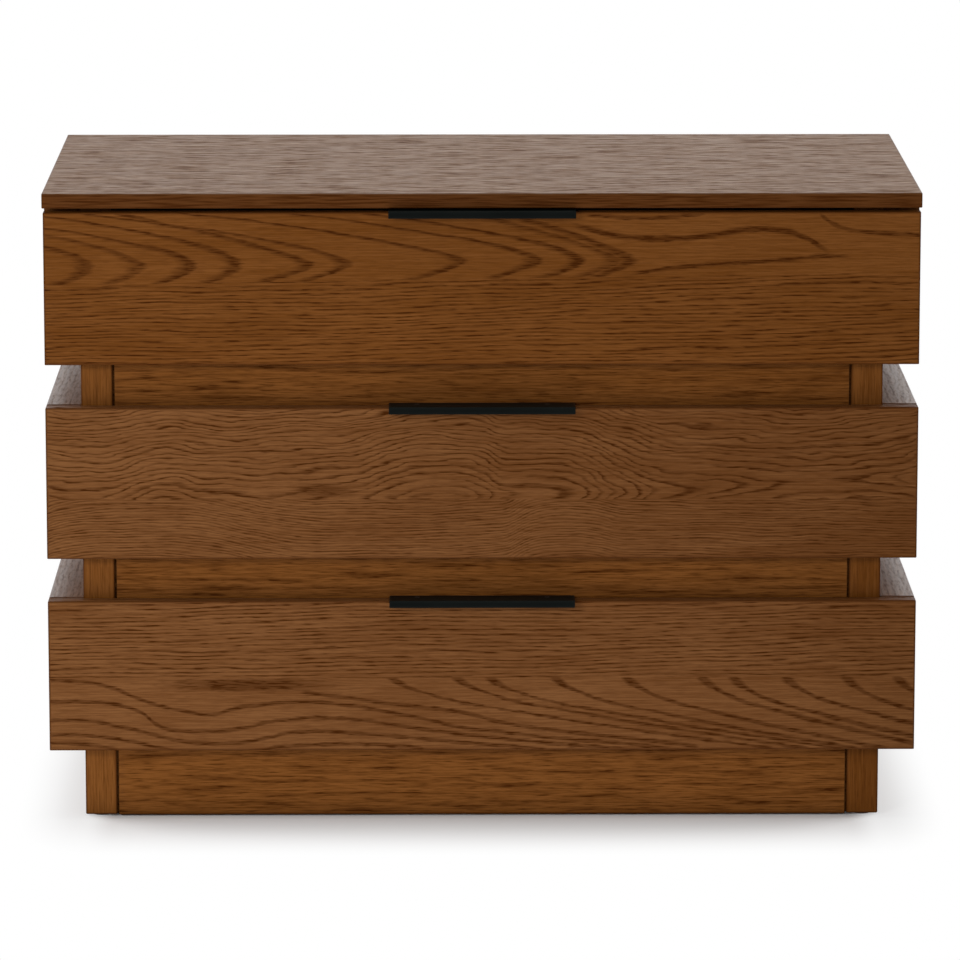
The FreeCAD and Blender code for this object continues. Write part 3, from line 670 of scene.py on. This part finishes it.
figures = {
    "upper": leaves(
        UPPER_JOINT,
        joined(
            crown(UPPER_HEART, slope=0.012, sway=8.0, tips=UPPER_TIPS, depth=0.88, seed=1.0),
            strokes(4.2, 1.2, lifted(EYE_OVER)),
            strokes(3.0, 1.4, lifted(EYE_UNDER)),
            strokes(3.2, 1.6, lifted(CORNER_LINE), lifted(EDGE_LINE), strength=0.8),
        ),
        straight(pitch=4.5, bend=20.0, seed=11.0, tilt=-0.025),
        slope=0.014,
    ),
    "middle": leaves(
        MIDDLE_JOINT,
        joined(
            contours(MIDDLE_HEART, MIDDLE_HILLS, pitch=8.6, crowding=0.0006, share=0.52, sway=22.0,
                     seed=2.0, slope=0.04, strength=0.95),
            strokes(KNOT_WIDTH, 2.5, lifted(MIDDLE_KNOT), strength=0.75, taper_share=KNOT_TAPER),
        ),
        contours(ARC_HEART, MIDDLE_ARCS, pitch=3.2, crowding=0.0, share=0.75, sway=9.0, seed=12.0,
                 strength=0.72),
    ),
    "lower": leaves(
        LOWER_JOINT,
        straight(pitch=4.6, bend=18.0, seed=13.0, tilt=-0.02),
        joined(
            strokes(3.0, 3.0, *(lifted(wave) for wave in LOWER_WAVES), strength=0.8, taper_share=0.02),
            swept(LOWER_JOINT, LOWER_TIPS, SWEEP_REACH, SWEEP_WIDTHS, seed=3.2, strength=0.8),
            strokes(KNOT_WIDTH, 3.5, lifted(LOWER_KNOT), strength=0.85, taper_share=KNOT_TAPER),
        ),
    ),
}
print("figures", list(figures))

# %% Finish the fronts
FRONT_STAINS = {"upper": OAK, "middle": GREY_OAK, "lower": GREY_OAK}
# painted fall-off of light: the middle and lower fronts grow darker towards the right
FRONT_PAINTED_FALLOFF = {"upper": 0.0, "middle": -0.0008, "lower": -0.0002}
FRONT_FIBRES = 2.2


def clothe(node, material):
    """Gives a carried-over piece its finish."""
    nodes[node].material_slots[0].material = material


for number, (tier, figure) in enumerate(figures.items()):
    node = f"drawer_front_{tier}"
    clothe(node, wood(f"oak_{node}", "xzy", 20.0 + number, figure, FRONT_STAINS[tier],
                      painted_falloff=FRONT_PAINTED_FALLOFF[tier], board=node, fibres=FRONT_FIBRES))
print("fronts", list(figures))

# %% [markdown]
# ## The rest of the oak
# The top is straight grain from side to side with a darker lipping, the posts stand with the grain, the
# rails are quiet and finely pored, and the side blocks and panels run from front to back. They share the
# function, so they read as one tree. The tops of the slab and the blocks have the heavier coat.

# %% Top
FACE_DEPTH = 1.0
TOP_COAT = 0.31


def face_height(node):
    """The height at which a piece's upper face begins, in millimetres."""
    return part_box(node)[1].z / MM - FACE_DEPTH


slab_grain = joined(straight(pitch=6.5, bend=40.0, seed=31.0, strength=0.7, dash=40.0),
                    speckled(length=60.0, width=6.0, seed=32.0, strength=0.95))
# painted light: the top grows a little lighter towards the right
clothe("top_panel", wood("oak_top", "xyz", 31.0, slab_grain, SLAB_OAK, tone=0.9, painted_falloff=0.0003,
                         board="top_panel", pores=0.3, upper_face=face_height("top_panel"), coat=TOP_COAT,
                         lipped=True))
print("top has a coat of", TOP_COAT)

# %% Rails and posts
RAIL_TONES = {"front_rail_lower": 1.1, "front_rail_upper": 0.9, "base_rail_front": 1.15}
# painted fall-off of light: the rails grow darker towards the right
RAIL_PAINTED_FALLOFF = {"front_rail_lower": -0.0005, "front_rail_upper": -0.0005, "base_rail_front": -0.0001}
# painted light and shade over the posts' own tone: the left posts lighter and a little darker upwards, the
# right posts darker at the foot and lighter upwards
POST_TONE_AND_PAINTED_LIGHT = {"right": -0.15, "left": 1.15}
POST_PAINTED_FALLOFF = {"right": 0.0016, "left": -0.0004}
RAIL_STREAK, POST_STREAK, FLECK = (85.0, 5.0), (90.0, 4.0), (28.0, 1.8)  # length and width
QUIET_PORES = 0.1

for number, (rail, tone) in enumerate(RAIL_TONES.items()):
    quiet = joined(speckled(*RAIL_STREAK, seed=41.0 + number, strength=1.0),
                   speckled(*FLECK, seed=44.0 + number, strength=0.8))
    clothe(rail, wood(f"oak_{rail}", "xzy", 41.0 + number, quiet, WARM_OAK, tone=tone,
                      painted_falloff=RAIL_PAINTED_FALLOFF[rail], board=rail, pores=QUIET_PORES))
for number, (end, side) in enumerate((end, side) for end in ("front", "rear") for side in SIDES):
    post = f"{end}_post_{side}"
    quiet = joined(speckled(*POST_STREAK, seed=51.0 + number, strength=0.45),
                   speckled(*FLECK, seed=55.0 + number, strength=0.4))
    clothe(post, wood(f"oak_{post}", "zxy", 51.0 + number, quiet, WARM_OAK, tone=POST_TONE_AND_PAINTED_LIGHT[side],
                      painted_falloff=POST_PAINTED_FALLOFF[side], board=post, pores=QUIET_PORES))
print("rails", list(RAIL_TONES))

# %% Side blocks and panels
BLOCK_COAT = 0.64
PANEL_TONE = 0.44

for number, (side, tier) in enumerate((side, tier) for side in SIDES for tier in TIERS):
    block = f"side_block_{side}_{tier}"
    grain = straight(pitch=4.6, bend=12.0, seed=61.0 + number, strength=0.3)
    clothe(block, wood(f"oak_{block}", "yzx", 61.0 + number, grain, GREY_OAK, board=block,
                       upper_face=face_height(block), coat=BLOCK_COAT))
for number, side in enumerate(SIDES):
    panel = f"side_panel_{side}"
    grain = straight(pitch=5.2, bend=16.0, seed=71.0 + number, strength=0.6)
    clothe(panel, wood(f"oak_{panel}", "yzx", 71.0 + number, grain, tone=PANEL_TONE, board=panel))
print("oak pieces", sum(o.material_slots[0].material.name.startswith("oak_") for o in nodes.values()))

# %% [markdown]
# ## Plain woods inside
# What is seen only with a drawer open is cheaper wood: pale birch for the drawer boxes, birch ply for their
# bottoms, a brown board at the back, and a plain wood for the cleats, stretchers and dowels. They need the
# same grain, only quieter, in their own colours. The front stretcher shows through the gap under the top,
# so it is painted near black, as the shade in that gap.

# %% Finishes of the plain woods
BIRCH = {"light": (0.62, 0.43, 0.245, 1.0), "middle": (0.52, 0.345, 0.185, 1.0),
         "dark": (0.3, 0.17, 0.075, 1.0)}
PLY = {"light": (0.66, 0.48, 0.29, 1.0), "middle": (0.56, 0.39, 0.22, 1.0),
       "dark": (0.36, 0.22, 0.105, 1.0)}
PLAIN = {"light": (0.42, 0.255, 0.125, 1.0), "middle": (0.33, 0.19, 0.088, 1.0),
         "dark": (0.19, 0.095, 0.038, 1.0)}
BACK = {"light": (0.2, 0.098, 0.038, 1.0), "middle": (0.145, 0.066, 0.023, 1.0),
        "dark": (0.07, 0.028, 0.009, 1.0)}
# near black: painted shade for the front stretcher, which is seen only in the gap under the top
GAP_SHADE = {"light": (0.016, 0.009, 0.005, 1.0), "middle": (0.011, 0.006, 0.003, 1.0),
           "dark": (0.005, 0.003, 0.002, 1.0)}


def plain_wood(name, ways, seed, colours, pitch, bend, strength, pores, gloss):
    """A plain wood with straight grain."""
    return wood(name, ways, seed, straight(pitch, bend, seed, strength), colours, pores=pores, gloss=gloss)


birch = {"colours": BIRCH, "pitch": 7.0, "bend": 22.0, "strength": 0.3, "pores": 0.08, "gloss": 0.3}
inner = {"colours": PLAIN, "pitch": 9.0, "bend": 20.0, "strength": 0.4, "pores": 0.12, "gloss": 0.2}
birch_side = plain_wood("birch_side", "yzx", 81.0, **birch)
birch_end = plain_wood("birch_end", "xzy", 82.0, **birch)
ply = plain_wood("birch_ply", "xyz", 83.0, PLY, pitch=24.0, bend=70.0, strength=0.35, pores=0.06, gloss=0.3)
inner_long = plain_wood("plain_long", "xzy", 84.0, **inner)
inner_deep = plain_wood("plain_deep", "yzx", 85.0, **inner)
back_face = plain_wood("brown_back", "zxy", 86.0, BACK, pitch=11.0, bend=40.0, strength=0.4, pores=0.15,
                       gloss=0.2)
gap_shade_wood = plain_wood("painted_gap_shade", "xyz", 87.0, GAP_SHADE, pitch=8.0, bend=20.0, strength=0.4, pores=0.2,
                     gloss=0.06)
print("inner woods", birch_side.name, ply.name, inner_long.name, back_face.name)

# %% Drawer boxes, back and inner pieces
for tier in TIERS:
    for side in SIDES:
        clothe(f"box_side_{side}_{tier}", birch_side)
    for end in ("front", "back"):
        clothe(f"box_{end}_{tier}", birch_end)
    clothe(f"box_bottom_{tier}", ply)
for node in ("base_rail_rear", "top_stretcher_rear", "joint_dowels"):
    clothe(node, inner_long)
for side in SIDES:
    clothe(f"slide_cleats_{side}", inner_deep)
clothe("back_panel", back_face)
# the front stretcher is painted near black, as shade in the gap under the top
clothe("top_stretcher_front", gap_shade_wood)
print("drawer boxes", len(TIERS))

# %% [markdown]
# ## Metal, nylon and felt
# The pulls are black powder coat, which has a fine orange-peel skin and wears a little brighter on its
# edges. The slides are zinc plated and rolled along their length. The glides are moulded nylon, the bumpers
# pressed felt.

# %% Black pulls
BLACK, RUBBED_BLACK = (0.0022, 0.0031, 0.0028, 1.0), (0.0066, 0.0084, 0.0078, 1.0)
BLACK_GLOSS, BLACK_ROUGHNESS = 0.03, 0.42
PEEL, PEEL_DEPTH = (1.1, 1.1), 0.02
DUST, DUST_LEVEL, DUST_TINT, DUST_ROUGHNESS = (60.0, 14.0), 0.4, 0.8, 0.25
RUB_TINT, RUB_POLISH = 0.35, 0.08


def black_coat(node):
    """Powder coat with an orange-peel skin, dusty patches and rubbed edges."""
    finish = Finish(f"black_coat_{node}", specular_ior_level=BLACK_GLOSS)
    place = finish.place()
    run, rise = place["x"], place["z"] + place["y"]
    skin = finish.streak(run, rise, *PEEL, 91.0)
    dust = finish.streak(run, rise, *DUST, 92.0, 3.0)
    rubbed = edge(finish, place, node)
    share = (dust - DUST_LEVEL).most(0.0) * DUST_TINT + rubbed * RUB_TINT
    rough = BLACK_ROUGHNESS + (dust - 0.5) * DUST_ROUGHNESS - rubbed * RUB_POLISH
    finish.feed(base_color=finish.mixed(share, BLACK, RUBBED_BLACK), roughness=rough,
                normal=finish.bump(skin, PEEL_DEPTH))
    return finish.material


for tier in TIERS:
    clothe(f"pull_{tier}", black_coat(f"pull_{tier}"))
print("pulls coated")

# %% Plated steel
ZINC = ((0.4, 0.42, 0.45, 1.0), (0.68, 0.7, 0.72, 1.0))
YELLOW_ZINC = ((0.5, 0.41, 0.22, 1.0), (0.72, 0.64, 0.42, 1.0))
SCRATCH, SCRATCH_DEPTH, PLATING = (40.0, 0.5), 0.01, (14.0, 9.0)
PLATING_TINT, SCRATCH_TINT = 0.7, 0.3
STEEL_ROUGHNESS, PLATING_ROUGHNESS, SCRATCH_ROUGHNESS = 0.26, 0.2, 0.1


def steel(name, colours, ways, seed):
    """Plated steel: scratches along one way, cloudy plating and duller patches."""
    finish = Finish(name, metallic=1.0)
    place = finish.place()
    along, across, through = ways
    run = place[along]
    rise = place[across] + place[through] * THROUGH_SHARE
    scratch = finish.streak(run, rise, *SCRATCH, seed)
    cloud = finish.streak(run, rise, *PLATING, seed + 1.0, 3.0)
    tint = finish.mixed(cloud * PLATING_TINT + scratch * SCRATCH_TINT, *colours)
    rough = STEEL_ROUGHNESS + PLATING_ROUGHNESS * cloud + SCRATCH_ROUGHNESS * scratch
    finish.feed(base_color=tint, roughness=rough, normal=finish.bump(scratch, SCRATCH_DEPTH))
    return finish.material


zinc = steel("zinc_plate", ZINC, "yzx", 101.0)
screw_zinc = steel("yellow_zinc", YELLOW_ZINC, "zxy", 103.0)
for tier in TIERS:
    for member in ("inner", "middle", "outer"):
        clothe(f"slide_{member}_{tier}", zinc)
print("steel", zinc.name, screw_zinc.name)

# %% Nylon and felt
NYLON = ((0.012, 0.009, 0.007, 1.0), (0.024, 0.018, 0.014, 1.0))
FELT = ((0.02, 0.014, 0.01, 1.0), (0.06, 0.044, 0.032, 1.0))
MOULDED_GLOSS = 0.3
GRIT_ROUGHNESS, GRIT_DEPTH = 0.15, 0.08


def moulded(name, colours, grit, rough, seed):
    """A dull moulded or pressed material with a fine grit."""
    finish = Finish(name, specular_ior_level=MOULDED_GLOSS)
    place = finish.place()
    fine = finish.streak(place["x"] + place["z"] * THROUGH_SHARE, place["y"], grit, grit, seed, 3.0)
    finish.feed(base_color=finish.mixed(fine, *colours), roughness=rough + GRIT_ROUGHNESS * fine,
                normal=finish.bump(fine, GRIT_DEPTH))
    return finish.material


nylon = moulded("brown_nylon", NYLON, grit=1.2, rough=0.4, seed=105.0)
felt = moulded("brown_felt", FELT, grit=0.8, rough=0.8, seed=107.0)
clothe("floor_glides", nylon)
clothe("drawer_bumpers", felt)
print("small parts", nylon.name, felt.name)

# %% [markdown]
# ## Screws
# The case, the back and the drawers are held by cross-headed screws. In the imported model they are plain
# stubs, so here Geometry Nodes turn a screw on its axis, from the shank up to a domed head, cut the cross
# into it, and set one on each place. Places and sizes are measured from the stubs, and each screw is turned
# by its own chance angle.

# %% Size of one stub
HEAD_SHARE = 0.99
SHANK_SHARES = (0.1, 0.7)
FLAT = 1e-5


def measure(points):
    """The place, the way and the sizes of one screw, from the corners of its stub."""
    low = Vector(min(p[i] for p in points) for i in range(3))
    high = Vector(max(p[i] for p in points) for i in range(3))
    axis = max(range(3), key=lambda i: high[i] - low[i])
    middle = (low + high) / 2

    def radius(point):
        return math.hypot(*(point[i] - middle[i] for i in range(3) if i != axis))

    head = max(radius(p) for p in points)
    least, most = (head * share for share in SHANK_SHARES)
    wide = [p[axis] for p in points if radius(p) > head * HEAD_SHARE]
    slim = [p[axis] for p in points if least < radius(p) < most]
    up = 1 if max(wide) == high[axis] else -1
    face = high[axis] if up > 0 else low[axis]
    under = max(slim) if up > 0 else min(slim)
    way = Vector(float(up) if i == axis else 0.0 for i in range(3))
    seat = middle.copy()
    seat[axis] = under
    height = abs(face - under)
    shank = min(radius(p) for p in points if radius(p) > least)
    return {"seat": seat, "way": way, "head": head, "height": height, "shank": shank,
            "length": high[axis] - low[axis] - height, "countersunk": max(wide) - min(wide) <= FLAT}


print("a head is wider than", HEAD_SHARE, "of the widest radius")

# %% Measure all stubs
STUB_WELD = 1e-6


def stubs(node):
    """The measures of each screw in a node, from its loose solids."""
    shape = bmesh.new()
    shape.from_mesh(nodes[node].data)
    bmesh.ops.remove_doubles(shape, verts=shape.verts, dist=STUB_WELD)
    waiting = set(shape.verts)
    found = []
    while waiting:
        island, front = set(), [waiting.pop()]
        while front:
            vert = front.pop()
            island.add(vert)
            near = {e.other_vert(vert) for e in vert.link_edges} & waiting
            waiting -= near
            front += near
        found.append(measure([vert.co for vert in island]))
    shape.free()
    return sorted(found, key=lambda screw: tuple(screw["seat"]))


screws = {node: stubs(node) for node in nodes if "screws" in node}
for node, found in screws.items():
    print(node, len(found), {key: found[0][key] for key in ("head", "height", "shank", "length")})

# %% Inputs of the screw tree
SCREW_SIZES = ("Head Radius", "Seat Radius", "Crown Radius", "Rim Height", "Head Height", "Shank Radius",
               "Shank Length", "Cross Depth")
SCREW_INPUTS = [(label, "Float") for label in SCREW_SIZES] + [("Seed", "Int"), ("Finish", "Material")]

screw_tree = bpy.data.node_groups.new("cross_headed_screws", "GeometryNodeTree")
screw_tree.interface.new_socket("Places", in_out="INPUT", socket_type="NodeSocketGeometry")
for label, kind in SCREW_INPUTS:
    screw_tree.interface.new_socket(label, in_out="INPUT", socket_type=f"NodeSocket{kind}")
screw_tree.interface.new_socket("Screws", in_out="OUTPUT", socket_type="NodeSocketGeometry")
turning = Graph(screw_tree)
labels = ["Places"] + [label for label, kind in SCREW_INPUTS]
size_of = dict(zip(labels, turning.add("NodeGroupInput", {}, {}, *labels)))
print("screw tree inputs", list(size_of))

# %% Turn a screw
SCREW_SIDES = 20
TURNED_WELD = 1e-7
POINT_RADIUS, POINT_LENGTH = 0.3, 0.12  # as shares of the shank
SEAT_STEP = 1e-6
DOME_STEP = 0.6


def turned(graph, radius, steps):
    """A closed solid of revolution: a disc pulled up from ring to ring, each with its rise and radius."""
    circle = {"Vertices": SCREW_SIDES, "Radius": radius}
    disc = graph.add("GeometryNodeMeshCircle", {"fill_type": "NGON"}, circle)
    foot = graph.add("GeometryNodeFlipFaces", {}, {"Mesh": disc})
    solid, top = disc, True
    for rise, after in steps:
        way = graph.add("ShaderNodeCombineXYZ", {}, {2: rise})
        pull = {"Mesh": solid, "Selection": top, "Offset": way, "Offset Scale": 1.0}
        pulled, top = graph.add("GeometryNodeExtrudeMesh", {}, pull, "Mesh", "Top")
        stretch = {"Geometry": pulled, "Selection": top, "Scale": after / radius}
        solid = graph.add("GeometryNodeScaleElements", {}, stretch)
        radius = after
    closed = graph.add("GeometryNodeJoinGeometry", {}, {0: [foot, solid]})
    return graph.add("GeometryNodeMergeByDistance", {}, {"Geometry": closed, "Distance": TURNED_WELD})


shank, length = size_of["Shank Radius"], size_of["Shank Length"]
head, top_ring = size_of["Head Radius"], size_of["Crown Radius"]
rim = size_of["Rim Height"]
dome = size_of["Head Height"] - rim
rings = ((length * POINT_LENGTH, shank), (length * (1 - POINT_LENGTH), shank),
         (SEAT_STEP, size_of["Seat Radius"]), (rim, head),
         (dome * DOME_STEP, (head + top_ring) / 2), (dome * (1 - DOME_STEP), top_ring))
screw = turned(turning, shank * POINT_RADIUS, rings)
print("a screw has", len(rings), "rings")

# %% Cut the cross
CROSS_REACH = 1.15
CROSS_WIDTH = 0.26
SECOND_BAR = 0.92


def cross_bar(reach, width, depth, level):
    """One bar of the cross, sunk into the head from above."""
    size = turning.add("ShaderNodeCombineXYZ", {}, {0: reach, 1: width, 2: depth * 2})
    bar = turning.add("GeometryNodeMeshCube", {}, {"Size": size})
    lift = turning.add("ShaderNodeCombineXYZ", {}, {2: level})
    return turning.add("GeometryNodeTransform", {}, {"Geometry": bar, "Translation": lift})


level = length + size_of["Head Height"]
reach, width = head * CROSS_REACH, head * CROSS_WIDTH
cross = [cross_bar(*sizes, size_of["Cross Depth"] * depth, level)
         for sizes, depth in (((reach, width), 1.0), ((width, reach), SECOND_BAR))]
bars = {"Mesh 1": screw, "Mesh 2": cross}
cut = turning.add("GeometryNodeMeshBoolean", {"operation": "DIFFERENCE"}, bars, "Mesh")
drop = turning.add("ShaderNodeCombineXYZ", {}, {2: 0 - length})
seated = turning.add("GeometryNodeTransform", {}, {"Geometry": cut, "Translation": drop})
print("cross bars", len(cross))

# %% Set the screws
UPRIGHT = (0.0, 0.0, 1.0)

way = turning.add("GeometryNodeInputNamedAttribute", {"data_type": "FLOAT_VECTOR"}, {"Name": "way"})
upright = turning.add("FunctionNodeAlignRotationToVector", {"axis": "Z"}, {"Vector": way})
chance = {2: 0.0, 3: math.pi, "Seed": size_of["Seed"]}
angle = turning.add("FunctionNodeRandomValue", {"data_type": "FLOAT"}, chance, 1)
twist = turning.add("FunctionNodeAxisAngleToRotation", {}, {"Axis": UPRIGHT, "Angle": angle})
turns = {"Rotation": upright, "Rotate By": twist}
driven = turning.add("FunctionNodeRotateRotation", {"rotation_space": "LOCAL"}, turns)
stand = {"Points": size_of["Places"], "Instance": seated, "Rotation": driven}
stands = turning.add("GeometryNodeInstanceOnPoints", {}, stand)
real = turning.add("GeometryNodeRealizeInstances", {}, {"Geometry": stands})
plated = turning.add("GeometryNodeSetMaterial", {}, {"Geometry": real, "Material": size_of["Finish"]})
turning.add("NodeGroupOutput", {}, {"Screws": plated})
print("screw tree nodes", len(screw_tree.nodes))

# %% A mesh of screws of one size
FLUSH_HEAD, DOMED_HEAD = (0.94, 0.96), (0.6, 0.4)  # the crown's radius and the rim's height, as shares
CROSS_SHARE = 0.6


def set_screws(found, finish, seed):
    """A plain mesh of the screws that have the same sizes, set by the tree."""
    first = found[0]
    places = bpy.data.meshes.new("screw_places")
    places.from_pydata([screw["seat"] for screw in found], [], [])
    ways = places.attributes.new("way", "FLOAT_VECTOR", "POINT")
    ways.data.foreach_set("vector", [value for screw in found for value in screw["way"]])
    holder = bpy.data.objects.new("screw_places", places)
    scene.collection.objects.link(holder)
    flush = first["countersunk"]
    crown_share, rim_share = FLUSH_HEAD if flush else DOMED_HEAD
    values = {
        "Head Radius": first["head"], "Seat Radius": first["shank"] if flush else first["head"],
        "Crown Radius": first["head"] * crown_share, "Rim Height": first["height"] * rim_share,
        "Head Height": first["height"], "Shank Radius": first["shank"], "Shank Length": first["length"],
        "Cross Depth": first["height"] * CROSS_SHARE, "Seed": seed, "Finish": finish,
    }
    modifier = holder.modifiers.new("screws", "NODES")
    modifier.node_group = screw_tree
    for item in screw_tree.interface.items_tree:
        if item.in_out == "INPUT" and item.name in values:
            modifier[item.identifier] = values[item.name]
    made = holder.evaluated_get(bpy.context.evaluated_depsgraph_get())
    mesh = bpy.data.meshes.new_from_object(made)
    bpy.data.objects.remove(holder)
    return mesh


print("cross depth", CROSS_SHARE, "of the head")

# %% Screws on the case and on each drawer
BLACK_SCREW = ((0.004, 0.005, 0.005, 1.0), (0.01, 0.012, 0.012, 1.0))
SIZE_DIGITS = 5
CASE_SEED, DRAWER_SEED = 5, 15

black_screw = moulded("black_screw", BLACK_SCREW, grit=1.0, rough=0.35, seed=109.0)


def sorts(found):
    """Screws grouped by their sizes."""
    groups = {}
    for screw in found:
        key = tuple(round(screw[size], SIZE_DIGITS) for size in ("head", "length"))
        groups.setdefault(key, []).append(screw)
    return [groups[key] for key in sorted(groups)]


def screw_piece(name, body, stub_nodes, seed):
    """All screws of a body as one piece, which stands for its stubs."""
    shape = bmesh.new()
    count = 0
    for number, group in enumerate(sorts([screw for node in stub_nodes for screw in screws[node]])):
        black = group[0]["countersunk"]
        mesh = set_screws(group, black_screw if black else screw_zinc, seed + number)
        faces = len(shape.faces)
        shape.from_mesh(mesh)
        shape.faces.ensure_lookup_table()
        for face in shape.faces[faces:]:
            face.material_index = int(black)
        bpy.data.meshes.remove(mesh)
        count += len(group)
    whole = bpy.data.meshes.new(name)
    shape.to_mesh(whole)
    shape.free()
    for finish in (screw_zinc, black_screw):
        whole.materials.append(finish)
    piece = bpy.data.objects.new(name, whole)
    scene.collection.objects.link(piece)
    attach(piece, body)
    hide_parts(*stub_nodes)
    print(name, count, "screws", len(whole.polygons), "faces")


screw_piece("case_screw_set", "case", ("back_screws", "case_screws"), CASE_SEED)
for number, tier in enumerate(TIERS):
    screw_piece(f"drawer_screw_set_{tier}", f"{tier}_drawer", (f"drawer_screws_{tier}",),
                DRAWER_SEED + number)
